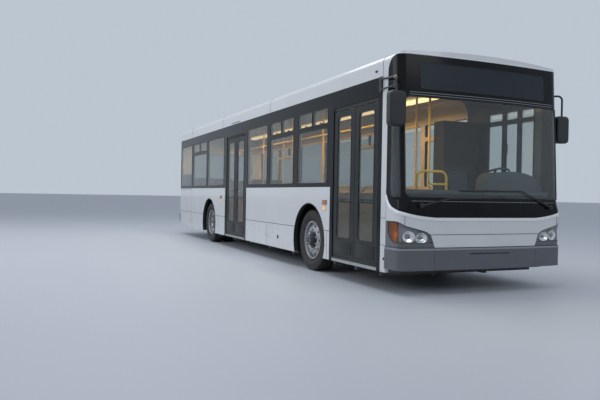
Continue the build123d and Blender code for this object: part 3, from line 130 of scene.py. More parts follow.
# An even cool sky, which the camera, gloss and glass see as a pale backdrop
scene.world = bpy.data.worlds.new("studio_sky")
scene.world.use_nodes = True
tree = scene.world.node_tree
tree.nodes.clear()
path = node(tree, "LightPath").outputs
through = sums(tree, "MAXIMUM", path["Is Glossy Ray"], path["Is Transmission Ray"])
direct = sums(tree, "MAXIMUM", path["Is Camera Ray"], through)
fill = node(tree, "Background", {"Color": (0.8, 0.88, 1.0, 1.0), "Strength": 0.42})
shown = node(tree, "Background", {"Color": PALE_SKY, "Strength": 1.0})
mixed = node(tree, "MixShader", {0: direct, 1: fill.outputs[0], 2: shown.outputs[0]})
node(tree, "OutputWorld", {"Surface": mixed.outputs[0]})


def soft_box(name, place, target, width, height, power, colour=(1.0, 1.0, 1.0)):
    """A large soft lamp aimed at a point."""
    lamp = bpy.data.lights.new(name, "AREA")
    lamp.shape = "RECTANGLE"
    lamp.size, lamp.size_y = width, height
    lamp.energy = power
    lamp.color = colour
    holder = bpy.data.objects.new(name, lamp)
    holder.location = place
    holder.rotation_euler = (Vector(target) - Vector(place)).to_track_quat("-Z", "Y").to_euler()
    holder.visible_camera = False
    scene.collection.objects.link(holder)
    return holder


soft_box("overhead_box", (0.0, -2.0, 10.0), (0, 0, 0), 16.0, 7.0, 600.0, (0.93, 0.97, 1.0))
soft_box("side_box", (-2.0, -16.0, 7.5), (0, 0, 1.2), 16.0, 5.0, 560.0)
soft_box("front_box", (18.0, 2.0, 9.0), (5.0, 0, 1.0), 9.0, 5.0, 210.0)

floor_bm = bmesh.new()
bmesh.ops.create_grid(floor_bm, x_segments=1, y_segments=1, size=220.0)
floor_mesh = bpy.data.meshes.new("studio_floor")
floor_bm.to_mesh(floor_mesh)
floor_bm.free()
studio_floor = bpy.data.objects.new("studio_floor", floor_mesh)
scene.collection.objects.link(studio_floor)


def new_finish(name, shader=(), worn_by=()):
    """A new material, on its CAD nodes' own slots, with its tree and its shader, whose constants are set."""
    made = bpy.data.materials.new(name)
    made.use_nodes = True
    principled = made.node_tree.nodes["Principled BSDF"]
    for socket, value in dict(shader).items():
        principled.inputs[socket].default_value = value
    for place in (place for node_name in worn_by for place in nodes[node_name].material_slots):
        place.link = "OBJECT"
        place.material = made
    return made, made.node_tree, principled


ground, tree, shader = new_finish("studio_ground", {"Specular IOR Level": 0.3})
mottle = noise(tree, 0.35, 4.0)
tone = blend(tree, mottle, (0.56, 0.6, 0.65), (0.62, 0.65, 0.7))
polish = ramp(tree, mottle, 0.0, 1.0, 0.42, 0.58)
wire(tree, (tone, shader.inputs["Base Color"]), (polish, shader.inputs["Roughness"]))
studio_floor.data.materials.append(ground)


# Body panels
# Painted sheet panels on a welded frame: roof, rear wall, side walls, front panel, engine lid and hatches.
# The paint is a white two-pack coat with a faint orange peel, wet dust near the road and rubbed edges.
def new_effect(name, outputs, **inputs):
    """A node group for a shared effect: its tree, what it is given and what it returns."""
    group = bpy.data.node_groups.new(name, "ShaderNodeTree")
    for socket, default in inputs.items():
        made = group.interface.new_socket(socket, in_out="INPUT", socket_type="NodeSocketFloat")
        made.default_value = default
    for socket in outputs:
        group.interface.new_socket(socket, in_out="OUTPUT", socket_type="NodeSocketFloat")
    return group, group.nodes.new("NodeGroupInput").outputs, group.nodes.new("NodeGroupOutput").inputs


def effect(tree, group, **inputs):
    """Places a shared effect in a material with its own values."""
    made = tree.nodes.new("ShaderNodeGroup")
    made.node_tree = group
    for name, value in inputs.items():
        made.inputs[name].default_value = value
    return made.outputs


# Road dust: full at the foot height, gone at the top height, in clouds and run-down streaks
road_dust, given, result = new_effect("road_dust", ["Film"], Foot=0.2, Top=1.4)
fade = ramp(road_dust, axes(road_dust)["Z"], given["Top"], given["Foot"], kind="SMOOTHSTEP")
patchy = ramp(road_dust, noise(road_dust, 3.0, 6.0, Roughness=0.62), 0.32, 0.68, 0.25)
stretch = node(road_dust, "Mapping", {"Vector": coords(road_dust), "Scale": (16.0, 16.0, 0.9)})
run_down = ramp(road_dust, noise(road_dust, 1.0, 4.0, Vector=stretch.outputs[0]), 0.35, 0.65, 0.45)
wire(road_dust, (product(road_dust, fade, patchy, run_down), result["Film"]))

# Rubbed edges: where the surface turns within a width, broken up by noise
rubbed_edges, given, result = new_effect("rubbed_edges", ["Edge"], Width=0.004)
rounded = node(rubbed_edges, "Bevel", {"Radius": given["Width"]}, samples=4)
flat = node(rubbed_edges, "NewGeometry")
turn = node(rubbed_edges, "VectorMath", {0: rounded.outputs[0], 1: flat.outputs["Normal"]},
            operation="DOT_PRODUCT")
edge = ramp(rubbed_edges, turn.outputs["Value"], 0.985, 0.8)
broken = ramp(rubbed_edges, noise(rubbed_edges, 40.0, 5.0), 0.46, 0.6)
wire(rubbed_edges, (product(rubbed_edges, edge, broken), result["Edge"]))

# Grain: fine lumps of one size over slow waves, for paint skin and moulded plastic
skin_grain, given, result = new_effect("skin_grain", ["Height", "Mottle"], Size=400.0)
waves = noise(skin_grain, 2.0, 2.0)
height = node(skin_grain, "Mix", {0: 0.5, 2: noise(skin_grain, given["Size"], 2.0), 3: waves})
wire(skin_grain, (height.outputs[0], result["Height"]), (waves, result["Mottle"]))


def surface(name, colour, roughness, dust, grain, *worn_by, worn=(0.004, 0.3, None), shader=()):
    """A solid finish for CAD nodes or pieces: base colour, road dust, rubbed edges and grain.

    dust is foot, top and share; grain is size and depth in metres; worn is width, share and bare colour.
    """
    made, tree, principled = new_finish(name, shader, worn_by)
    skin = effect(tree, skin_grain, Size=grain[0])
    film = effect(tree, road_dust, Foot=dust[0], Top=dust[1])
    edges = effect(tree, rubbed_edges, Width=worn[0])
    base = blend(tree, skin["Mottle"], [c * 0.9 for c in colour], colour)
    bare = worn[2] or [min(1.0, c * 0.5 + 0.12) for c in colour]
    rubbed = blend(tree, product(tree, edges["Edge"], worn[1]), base, bare)
    dust_share = product(tree, film["Film"], dust[2])
    dusty = blend(tree, dust_share, rubbed, (0.2, 0.185, 0.165))
    gloss = ramp(tree, dust_share, 0.0, 0.6, roughness, 0.75)
    bump = node(tree, "Bump", {"Height": skin["Height"], "Distance": grain[1], "Strength": 1.0})
    wire(tree, (dusty, principled.inputs["Base Color"]), (gloss, principled.inputs["Roughness"]),
         (bump.outputs[0], principled.inputs["Normal"]))
    return made


def overpaint(made, colour, inside):
    """Repaints a finish where inside(tree, X, distance from the centre plane, Z) is one."""
    tree = made.node_tree
    target = tree.nodes["Principled BSDF"].inputs["Base Color"]
    x, y, z = axes(tree)
    mask = inside(tree, x, sums(tree, "ABSOLUTE", y), z)
    wire(tree, (blend(tree, mask, target.links[0].from_socket, colour), target))


def zone(*ranges):
    """A mask for overpaint that is one in a box, from ranges of X, distance from the centre plane and Z."""
    def inside(tree, *place):
        limits = [((low + high) / 2, (high - low) / 2) for low, high in ranges]
        return product(tree, *(sums(tree, "COMPARE", value, *limit) for value, limit in zip(place, limits)))
    return inside


def add_piece(name, bm, material, body="body"):
    """Makes an object of a bmesh: finished and riding on a body."""
    bmesh.ops.recalc_face_normals(bm, faces=bm.faces)
    mesh = bpy.data.meshes.new(name)
    bm.to_mesh(mesh)
    bm.free()
    mesh.materials.append(material)
    mesh.shade_smooth()
    mesh.set_sharp_from_angle(angle=0.6)
    piece = bpy.data.objects.new(name, mesh)
    scene.collection.objects.link(piece)
    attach(piece, body)
    return piece


def add_box(bm, first, last, bevel, segments=2):
    """A box between two opposite corners, its edges rounded."""
    first, last = Vector(first), Vector(last)
    place = Matrix.Translation((first + last) / 2) @ Matrix.Diagonal((*map(abs, last - first), 1.0))
    corners = bmesh.ops.create_cube(bm, size=1.0, matrix=place)["verts"]
    edges = list({edge for corner in corners for edge in corner.link_edges})
    bmesh.ops.bevel(bm, geom=edges, offset=bevel, segments=segments, profile=0.5, affect="EDGES", material=-1)


def add_rod(bm, start, end, radius, sides):
    """A round bar between two points."""
    axis = Vector(end) - Vector(start)
    bmesh.ops.create_cone(bm, cap_ends=True, segments=sides, radius1=radius, radius2=radius,
                          depth=axis.length, matrix=facing(Vector(start) + axis / 2, axis))


def lathe(bm, profile, place, steps=48):
    """Turns a profile of (radius, height) points about the Z axis of a place."""
    before = set(bm.verts)
    corners = [bm.verts.new((radius, 0, height)) for radius, height in profile]
    edges = [bm.edges.new(pair) for pair in zip(corners, corners[1:])]
    bmesh.ops.spin(bm, geom=corners + edges, cent=(0, 0, 0), axis=(0, 0, 1), angle=2 * pi, steps=steps,
                   use_merge=True)
    bmesh.ops.remove_doubles(bm, verts=[corner for corner in bm.verts if corner not in before], dist=1e-6)
    bmesh.ops.transform(bm, matrix=place, verts=[corner for corner in bm.verts if corner not in before])


def facing(point, direction):
    """The place whose Z axis looks in a direction from a point."""
    return Matrix.Translation(point) @ Vector(direction).to_track_quat("Z", "Y").to_matrix().to_4x4()


def ring(radius, sides=10, flat=1.0):
    """A round section for sweep, squashed across by flat."""
    return [(radius * cos(2 * pi * i / sides), flat * radius * sin(2 * pi * i / sides)) for i in range(sides)]


def sweep(bm, points, section, closed=False, up=None):
    """Carries a section of (side, up) offsets along a line of points, mitred at each one."""
    points = [Vector(point) for point in points]
    count = len(points)
    normal = Vector(up or (0.0213, 0.0371, 1.0))
    rings = []
    for i, point in enumerate(points):
        back = (point - points[i - 1]).normalized() if closed or i else None
        on = (points[(i + 1) % count] - point).normalized() if closed or i < count - 1 else None
        back, on = back or on, on or back
        along = (back + on).normalized()
        normal = Vector(up) if up else normal
        normal = (normal - along * normal.dot(along)).normalized()
        side = along.cross(normal)
        bend = (on - back).normalized()
        stretch = 1 / max(0.3, along.dot(on)) - 1
        offsets = [side * a + normal * b for a, b in section]
        rings.append([bm.verts.new(point + offset + bend * offset.dot(bend) * stretch) for offset in offsets])
    pairs = list(zip(rings, rings[1:] + rings[:1])) if closed else list(zip(rings, rings[1:]))
    for first, second in pairs:
        for k in range(len(section)):
            after = (k + 1) % len(section)
            bm.faces.new((first[k], first[after], second[after], second[k]))
    if not closed:
        bm.faces.new(rings[0])
        bm.faces.new(rings[-1])


def cad_mesh(name):
    """A CAD node's mesh with its doubled corners joined."""
    bm = bmesh.new()
    bm.from_mesh(nodes[name].data)
    bmesh.ops.remove_doubles(bm, verts=bm.verts, dist=2e-5)
    return bm


def cad_lines(name, wanted):
    """A CAD node's sharp edges that pass a test, as ordered lines of points and whether each closes."""
    bm = cad_mesh(name)
    sharp = [edge for edge in bm.edges if len(edge.link_faces) == 2 and edge.calc_face_angle() > 0.45]
    left, lines = set(filter(wanted, sharp)), []
    while left:
        first = left.pop()
        line = list(first.verts)
        for _ in range(2):
            line.reverse()
            while True:
                following = next((edge for edge in line[-1].link_edges if edge in left), None)
                if following is None:
                    break
                left.discard(following)
                line.append(following.other_vert(line[-1]))
        closed = line[0] is line[-1]
        lines.append(([corner.co.copy() for corner in (line[:-1] if closed else line)], closed))
    bm.free()
    return lines


def trace(bm, name, wanted, section, up=None):
    """Carries a section along a CAD node's sharp edges that pass a test."""
    for line, closed in cad_lines(name, wanted):
        sweep(bm, line, section, closed, up)


def outer_edge(low, high):
    """A test for an edge: in a box of X and height, on a face that looks out of the bus."""
    def passes(edge):
        ends = [corner.co for corner in edge.verts]
        middle = (ends[0] + ends[1]) / 2
        out = Vector((max(0.0, middle.x - 5.0) + min(0.0, middle.x + 5.8), middle.y, 0.0)).normalized()
        inside = all(low[0] < end.x < high[0] and low[1] < end.z < high[1] for end in ends)
        return inside and max(face.normal.dot(out) for face in edge.link_faces) > 0.6
    return passes


def islands(name):
    """The bounding boxes of a CAD node's separate solids."""
    bm = cad_mesh(name)
    left, boxes = set(bm.verts), []
    while left:
        found = [left.pop()]
        for corner in found:
            joined = {edge.other_vert(corner) for edge in corner.link_edges} & left
            left -= joined
            found += joined
        sides = list(zip(*(corner.co for corner in found)))
        boxes.append((Vector([min(side) for side in sides]), Vector([max(side) for side in sides])))
    bm.free()
    return sorted(boxes, key=lambda box: tuple(box[0]))


BOW_R = (HALF_W**2 + 0.07**2) / 0.14


def front_point(y, z, lift=0.0):
    """A point on the bowed front face, lifted off it."""
    lean = 0.095 / 1.84 * max(0.0, z - 1.15)
    return Vector((FACE_X - lean - BOW_R + sqrt(BOW_R**2 - y**2) + lift, y, z))


def skin_corner(z):
    """The round corner of the front skin at one height: its radius, and X and Y of its centre."""
    radius = 0.08 if z < 1.04 else 0.15
    y = HALF_W - radius
    return radius, front_point(0.0, z).x - BOW_R + sqrt((BOW_R - radius)**2 - y**2), y


def skin_depth(point):
    """How far a point of the front end lies under the outer skin."""
    y = abs(point.y)
    radius, centre_x, centre_y = skin_corner(point.z)
    if y <= centre_y:
        return front_point(y, point.z).x - point.x
    return HALF_W - y if point.x < centre_x else radius - hypot(point.x - centre_x, y - centre_y)


def cad_shell(name, wanted, thickness, sink=0.0):
    """The faces of a CAD node that pass a test, sunk into it and given a thickness."""
    bm = cad_mesh(name)
    bmesh.ops.recalc_face_normals(bm, faces=bm.faces)
    bmesh.ops.delete(bm, geom=[face for face in bm.faces if not wanted(face)], context="FACES")
    bm.normal_update()
    for corner in bm.verts:
        corner.co -= corner.normal * sink
    bmesh.ops.solidify(bm, geom=bm.faces, thickness=thickness)
    return bm


def body_paint(name, *worn_by):
    """The white two-pack coat."""
    return surface(name, (0.8, 0.81, 0.83), 0.22, (0.15, 1.1, 0.15), (220.0, 0.0004), *worn_by,
                   worn=(0.003, 0.35, (0.42, 0.43, 0.45)),
                   shader={"Coat Weight": 0.8, "Coat Roughness": 0.06})


# Inner faces behind the cab and in it, and the louvres with the back of the engine lid, whose recessed faces
# are painted near black for the dark mesh behind them and as painted shade in the recess
SALOON = zone((-5.872, CAB_START_X), (0.0, 1.2235), (0.0, 2.842))
CAB = zone((CAB_START_X, 6.5), (0.0, 1.2235), (0.0, 2.842))
LOUVRE_MESH_AND_SHADE = zone((-5.9575, 0.0), (0.0, 0.501), (0.713, 1.057))
body_paint("white_paint", "rear_wall")
lid_paint = body_paint("lid_paint", "engine_lid")
# The louvres' recess is painted near black: the dark mesh behind them, and painted shade in the recess
overpaint(lid_paint, (0.02, 0.021, 0.023), LOUVRE_MESH_AND_SHADE)
lined_paint = body_paint("lined_paint", "side_wall_left", "side_wall_right", "roof", "front_dome")
overpaint(lined_paint, (0.36, 0.31, 0.24), SALOON)
overpaint(lined_paint, (0.03, 0.036, 0.045), CAB)
surface("hatch_shell", (0.62, 0.63, 0.64), 0.42, (2.0, 3.4, 0.4), (500.0, 0.0005),
        "roof_hatch_front", "roof_hatch_rear")


def lamp_surround(tree, x, aside, z):
    """One on the grey moulding under and behind each headlamp unit."""
    flank = product(tree, sums(tree, "GREATER_THAN", aside, 1.2735), 0.03)
    height = sums(tree, "SUBTRACT", sums(tree, "MULTIPLY_ADD", aside, -0.311, z), flank)
    under_top = sums(tree, "LESS_THAN", height, 0.4642)
    outside = sums(tree, "LESS_THAN", sums(tree, "MULTIPLY_ADD", aside, -2.31, z), -1.251)
    return product(tree, under_top, outside, sums(tree, "GREATER_THAN", x, 5.521))


panel_paint = body_paint("panel_paint", "front_panel")
overpaint(panel_paint, (0.1, 0.105, 0.115), lamp_surround)

# Dark band and mask
# Gloss black panels round the windows, the windscreen and the destination sign.
# Dust shows on them as grey specks, so their film starts higher up than the paint's.
def black_panel(name, *worn_by):
    """Gloss black sheet."""
    return surface(name, (0.006, 0.007, 0.009), 0.13, (0.3, 3.6, 0.04), (160.0, 0.0002), *worn_by,
                   worn=(0.002, 0.2, (0.06, 0.06, 0.07)), shader={"Specular IOR Level": 0.18})


gloss_black = black_panel("gloss_black", "screen_surround", "front_header", "door_frames")
lined_black = black_panel("lined_black", "window_band_left", "window_band_right")
overpaint(lined_black, (0.3, 0.25, 0.18), SALOON)

# Seals and mouldings
# Rubber seals fill the joints round every pane, a lip painted paler than the panels as a painted highlight
# edges the mask, and thin mouldings cross the front.
# Each one follows an edge of its CAD panel, so that it sits in the real joint.
seal_rubber = surface("seal_rubber", (0.014, 0.014, 0.015), 0.55, (0.3, 3.0, 0.12), (700.0, 0.0003),
                      worn=(0.002, 0.2, None))


def add_seal(name, bm, body="body"):
    """A piece of rubber."""
    add_piece(name, bm, seal_rubber, body)


for side, name in ((-1, "window_band_right"), (1, "window_band_left")):
    bm = bmesh.new()
    trace(bm, name, outer_edge((-5.84, 1.36), (5.38, 2.49)), ring(0.007, 8, 0.7), (0, side, 0))
    add_seal(f"{name}_seals", bm)
bm = bmesh.new()
trace(bm, "rear_wall", outer_edge((-6.1, 1.44), (-5.9, 2.36)), ring(0.012, 8, 0.6), (-1, 0, 0))
for side in (-1, 1):
    for x, y, foot, top, radius in ((REAR_X, 0.85, 0.618, 1.268, 0.0035),
                                    (REAR_X, 1.18, 0.592, 2.684, 0.0025),
                                    (-5.972, 0.9, 0.364, 0.588, 0.0025)):
        sweep(bm, [(x, side * y, foot), (x, side * y, top)], ring(radius, 6))
for reach, z, radius in ((0.85, 0.618, 0.0035), (1.185, 2.686, 0.0035), (1.185, 1.37, 0.0025)):
    sweep(bm, [(REAR_X, -reach, z), (REAR_X, reach, z)], ring(radius, 6))
add_seal("rear_seals", bm)

# Two sunk catches in the foot of the engine lid
bm = bmesh.new()
for side in (-1, 1):
    for back, front, reach, foot, top in ((-5.9635, -5.959, 0.055, 0.655, 0.695),
                                          (-5.968, -5.963, 0.04, 0.671, 0.681)):
        add_box(bm, (back, side * 0.62 - reach, foot), (front, side * 0.62 + reach, top), 0.002, 3)
add_piece("lid_catches", bm, seal_rubber, "engine_lid")
bm = bmesh.new()
trace(bm, "screen_surround", outer_edge((5.56, 1.15), (6.0, 2.41)), ring(0.007, 8))
trace(bm, "front_header", outer_edge((5.56, 2.48), (6.0, 2.84)), ring(0.004, 8))
add_seal("screen_seals", bm)

# Painted highlight: the lip and the bead along the dome's edge are painted paler than the white panels, for
# the light their upper faces catch
lip_highlight_paint = surface("lip_highlight_paint", (0.92, 0.93, 0.95), 0.16, (0.2, 1.3, 0.15), (300.0, 0.0001),
                    shader={"Coat Weight": 1.0})
LIP_TURNS = [pi * i / 8 for i in range(16)]
LIP_SECTION = [(0.01 * cos(turn) - 0.006 * sin(turn), 0.023 * sin(turn) - 0.01) for turn in LIP_TURNS]


def eased(line, step=0.02):
    """A line's points at even steps, with its heights smoothed where it rounds the front corners."""
    points, carried = [line[0]], 0.0
    for first, last in zip(line, line[1:]):
        length = (last - first).length
        while carried + length >= step:
            first = first.lerp(last, (step - carried) / length)
            length = (last - first).length
            points.append(first)
            carried = 0.0
        carried += length
    points.append(line[-1])
    for _ in range(90):
        heights = [point.z for point in points]
        for i in range(1, len(points) - 1):
            if abs(points[i].y) > 0.8 and points[i].x > 5.68:
                points[i].z = (heights[i - 1] + heights[i] + heights[i + 1]) / 3
    return points


bm = bmesh.new()
rims = [line if line[0].y < 0 else line[::-1]
        for line, _ in cad_lines("front_panel", outer_edge((FRONT_END_X, 0.915), (6.0, 1.29)))]
smile = max(rims, key=lambda line: max(point.x for point in line))
corners = min(rims, key=lambda line: min(point.x for point in line))
reach = smile[-1].y + 0.001
ends = [[point for point in corners if point.y * side > reach] for side in (-1, 1)]
sweep(bm, eased(ends[0] + smile + ends[1]), LIP_SECTION, False, (0, 0, 1))
trace(bm, "front_dome", outer_edge((5.55, 2.7), (6.0, 2.93)), ring(0.007, 8))
add_piece("mask_lip", bm, lip_highlight_paint)


def both_sides(half):
    """A line from the left side to the centre plane, made to run from the right side to the left one."""
    return [Vector((x, -y, z)) for x, y, z in half] + [Vector(point) for point in half[-2::-1]]


def skin_line(z, lift=0.0):
    """Points round the front skin at one height."""
    radius, centre_x, centre_y = skin_corner(z)
    bow_x = front_point(0.0, z).x - BOW_R
    turn = atan2(centre_y, centre_x - bow_x)
    half = [(FRONT_END_X, HALF_W + lift, z)]
    for i in range(9):
        angle = pi / 2 + (turn - pi / 2) * i / 8
        half.append((centre_x + (radius + lift) * cos(angle), centre_y + (radius + lift) * sin(angle), z))
    for i in range(11, -1, -1):
        half.append((bow_x + (BOW_R + lift) * cos(turn * i / 12), (BOW_R + lift) * sin(turn * i / 12), z))
    return both_sides(half)


def arc(start, mid, end, steps):
    """Complex points on the circle through three of them."""
    share = (end - start) / (mid - start)
    centre = start + (mid - start) * (share - abs(share)**2) / (2j * share.imag)
    first, last = phase(start - centre), phase(end - centre)
    return [centre + rect(abs(start - centre), first + (last - first) * i / steps) for i in range(steps + 1)]


def roof_line(x):
    """Points over the roof's cross-section at one X."""
    half = [complex(HALF_W, 2.69)] + arc(complex(HALF_W, 2.86), 1.248 + 2.91984j, 1.185 + 2.948j, 6)
    half += arc(1.185 + 2.948j, 2.99j, -1.185 + 2.948j, 24)[1:13]
    return both_sides([(x, point.real, point.imag) for point in half])


bm = bmesh.new()
sweep(bm, skin_line(0.571), ring(0.005, 8))
sweep(bm, [front_point(y / 20 * 0.855, 0.732) for y in range(-20, 21)], ring(0.0035, 6))
for side in (-1, 1):
    seam = min(skin_line(0.9), key=lambda point: abs(point.y - side * 1.196))
    sweep(bm, [(seam.x, seam.y, 0.842), (seam.x, seam.y, 0.982)], ring(0.003, 6))
    sweep(bm, [(5.52, side * HALF_W, 0.9), (5.52, side * HALF_W, 1.27)], ring(0.002, 6))
    for z in (0.583, 0.918):
        sweep(bm, [(5.402, side * HALF_W, z), (5.518, side * HALF_W, z)], ring(0.0025, 6))
for x in (5.4, 1.45, -1.6, -4.55):
    sweep(bm, roof_line(x), ring(0.003, 6))
add_seal("panel_joints", bm)


def bar(half_w, half_h):
    """A rectangular section for sweep."""
    return [(-half_w, -half_h), (half_w, -half_h), (half_w, half_h), (-half_w, half_h)]


moulding_grey = surface("moulding_grey", (0.3, 0.32, 0.34), 0.25, (0.2, 3.0, 0.1), (300.0, 0.0001),
                        shader={"Metallic": 0.7})
bm = bmesh.new()
for z, reach in ((2.452, 1.13), (2.424, 1.13), (1.138, 1.12)):
    sweep(bm, [front_point(i / 40 * 2 * reach - reach, z, 0.001) for i in range(41)], bar(0.003, 0.003))
add_piece("front_mouldings", bm, moulding_grey)

# Sealant in the flap joints of both sides: along X between two ends, and up to a top height
bm = bmesh.new()
for side in (-1, 1):
    runs = [(-5.86, -3.247, 0.666), (-5.86, -4.524, 1.289)]
    if side < 0:
        runs += [(-2.153, -1.37, 0.666), (0.13, 2.673, 0.666), (3.767, 3.96, 0.666)]
    else:
        runs += [(-2.153, 2.673, 0.666), (3.767, 5.4, 0.666)]
    lines = [[(first, side * HALF_W, z), (last, side * HALF_W, z)] for first, last, z in runs]
    seams = [(1.342, 0.664), (-1.898, 0.664), (-4.524, 1.287), (3.882 if side < 0 else -0.598, 0.664)]
    lines += [[(x, side * HALF_W, 0.247), (x, side * HALF_W, top)] for x, top in seams]
    for line in lines:
        sweep(bm, line, ring(0.0045, 6, 0.25), up=(0, side, 0))
add_seal("flap_joints", bm)

# Plugs, the drip rail over the middle door, the clip over the front one and the locks of the flaps
METAL = {"Metallic": 1.0}
lock_steel = surface("lock_steel", (0.55, 0.55, 0.56), 0.3, (0.0, 1.3, 0.2), (500.0, 0.0003), shader=METAL)
LOCKS = ((-2.06, 0.445), (-1.774, 0.45), (1.288, 0.441), (1.457, 0.445), (3.837, 0.452), (-4.6, 0.445),
         (-4.45, 0.445))
LOCK_TURNED = [(0.017, -0.001), (0.017, 0.002), (0.014, 0.004), (0.006, 0.004), (0.005, 0.002), (0.0, 0.002)]
CLIP_TURNED = [(0.034, -0.001), (0.034, 0.003), (0.03, 0.005), (0.012, 0.005), (0.01, 0.008), (0.0, 0.008)]
plug_bm, lock_bm = bmesh.new(), bmesh.new()
for side in (-1, 1):
    out = (0, side, 0)
    for x, z in LOCKS:
        lathe(lock_bm, LOCK_TURNED, facing((x, side * HALF_W, z), out), 24)
    plug_at = facing((5.485, side * HALF_W, 0.414), out)
    lathe(plug_bm, [(0.018, -0.001), (0.018, 0.002), (0.015, 0.004), (0.0, 0.005)], plug_at, 24)
lathe(plug_bm, CLIP_TURNED, facing((1.918, -HALF_W, 0.439), (0, -1, 0)), 36)
add_box(plug_bm, (-0.93, -1.283, 2.712), (-0.34, -1.274, 2.722), 0.003)
add_box(plug_bm, (5.215, -1.284, 2.758), (5.265, -1.274, 2.782), 0.003)
add_seal("side_fittings", plug_bm)
add_piece("flap_locks", lock_bm, lock_steel)

# Glass
# Laminated clear glass in front, green-grey tempered glass at the sides, rear and doors.
# Lamps reach what is behind a pane, and a thin film of dust dulls it in patches.
def glass(name, tint, film_share, *worn_by, roughness=0.012):
    """Clear glass that lets lamps through, with a film of dust."""
    constants = {"Transmission Weight": 1.0, "IOR": 1.45, "Specular IOR Level": 0.5}
    made, tree, principled = new_finish(name, constants, worn_by)
    spots = ramp(tree, noise(tree, 5.0, 6.0), 0.45, 0.75, 0.0, film_share)
    colour = blend(tree, spots, tint, [0.8 * c for c in tint])
    dull = ramp(tree, spots, 0.0, 1.0, roughness, 0.25)
    path = node(tree, "LightPath").outputs
    clear = node(tree, "BsdfTransparent", {"Color": tint + (1,)})
    mixed = node(tree, "MixShader", {0: path["Is Shadow Ray"], 1: principled.outputs[0], 2: clear.outputs[0]})
    wire(tree, (colour, principled.inputs["Base Color"]), (dull, principled.inputs["Roughness"]),
         (mixed.outputs[0], tree.nodes["Material Output"].inputs["Surface"]))
    return made


glass("windscreen_glass", (0.9, 0.95, 0.94), 0.1, "windscreen")
glass("side_window_glass", (0.52, 0.56, 0.55), 0.12,
      "side_glass", *(f"door_glass_{leaf}" for leaf in DOOR_LEAVES))
surface("sign_face", (0.018, 0.026, 0.036), 0.34, (2.0, 3.2, 0.06), (90.0, 0.0001), "sign_screen",
        shader={"Specular IOR Level": 0.25})
bm = bmesh.new()
add_box(bm, (-5.8, -1.2625, 1.375), (-4.55, -1.259, 1.7), 0.001)
add_piece("rear_window_blank", bm, gloss_black)

# Catches of the opening top lights, and the pull of the driver's sliding pane
bm = bmesh.new()
KERB_HOPPERS = ((3.02, 3.58), (1.735, 2.285), (-4.08, -2.98))
ROAD_HOPPERS = ((3.04, 3.62), (0.41, 1.03), (-4.1, -2.98))
for side, hoppers in ((-1, KERB_HOPPERS), (1, ROAD_HOPPERS)):
    for x in (x for pair in hoppers for x in pair):
        add_box(bm, (x - 0.03, side * 1.2465, 2.275), (x + 0.03, side * 1.2625, 2.291), 0.003)
        add_box(bm, (x - 0.008, side * 1.2325, 2.262), (x + 0.008, side * 1.2485, 2.287), 0.003)
add_box(bm, (4.8, 1.238, 1.86), (4.818, 1.262, 2.0), 0.004)
add_piece("window_catches", bm, seal_rubber)

# Bumper and door sills
# Grained grey plastic bumpers front and rear, and ribbed aluminium sills in both doorways.
# Stones have rubbed the plastic pale along its edges.
surface("bumper_plastic", (0.12, 0.13, 0.15), 0.42, (0.2, 0.9, 0.3), (900.0, 0.0006),
        "front_bumper", "rear_bumper", worn=(0.006, 0.45, (0.34, 0.35, 0.37)))
ledge_plastic = surface("ledge_plastic", (0.3, 0.32, 0.35), 0.38, (0.2, 0.9, 0.2), (900.0, 0.0005))
bm = bmesh.new()
sweep(bm, skin_line(0.554, 0.0125), [(a * 0.28, b) for a, b in ring(0.0125, 10)], up=(0, 0, 1))
add_piece("bumper_ledge", bm, ledge_plastic)
surface("bare_aluminium", (0.6, 0.61, 0.62), 0.32, (0.1, 0.6, 0.4), (300.0, 0.0003),
        "door_sills", *(f"door_post_{leaf}" for leaf in DOOR_LEAVES), shader=METAL)

# Lamps
# Each front unit is a clear lens and an amber corner lens over one tray, with two oval reflectors behind.
# The side markers and the tail clusters are moulded lenses on rubber gaskets.
clear_lens = glass("clear_lens", (0.96, 0.97, 0.98), 0.1)
amber_lens = glass("amber_lens", (0.9, 0.44, 0.05), 0.1, roughness=0.08)
red_lens = glass("red_lens", (0.75, 0.03, 0.02), 0.1, roughness=0.05)
lamp_tray = surface("lamp_tray", (0.3, 0.29, 0.3), 0.35, (0.0, 0.1, 0.0), (400.0, 0.0002))
amber_tray = surface("amber_tray", (0.4, 0.33, 0.24), 0.35, (0.0, 0.1, 0.0), (60.0, 0.001),
                     shader={"Metallic": 0.6})
reflector = surface("reflector", (0.86, 0.87, 0.88), 0.07, (0.0, 0.1, 0.0), (30.0, 0.0004), shader=METAL)


def skin_face(face):
    """Whether a lamp's face is its outer one."""
    return max(skin_depth(corner.co) for corner in face.verts) < 0.004 and face.calc_center_median().x > 5.4


lens = add_piece("headlamp_lenses", cad_shell("headlamps", skin_face, 0.003), clear_lens)
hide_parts("headlamps")
tray = cad_shell("headlamps", lambda face: not skin_face(face), 0.002)
add_piece("headlamp_trays", tray, lamp_tray)
add_piece("headlamp_bezels", cad_shell("headlamps", skin_face, 0.001, 0.04), lamp_tray)
lens = add_piece("amber_corner_lenses", cad_shell("amber_lamps", skin_face, 0.003), amber_lens)
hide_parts("amber_lamps")
tray = cad_shell("amber_lamps", lambda face: not skin_face(face) and face.calc_center_median().x > 5.4, 0.002)
add_piece("amber_corner_trays", tray, amber_tray)
BOWL = [(0.01, 0.0), (0.022, 0.004), (0.036, 0.011), (0.05, 0.021), (0.062, 0.033), (0.066, 0.034),
        (0.066, 0.028)]
BULB = [(0.0, 0.03), (0.006, 0.028), (0.008, 0.022), (0.008, 0.004), (0.012, 0.003), (0.012, 0.0)]
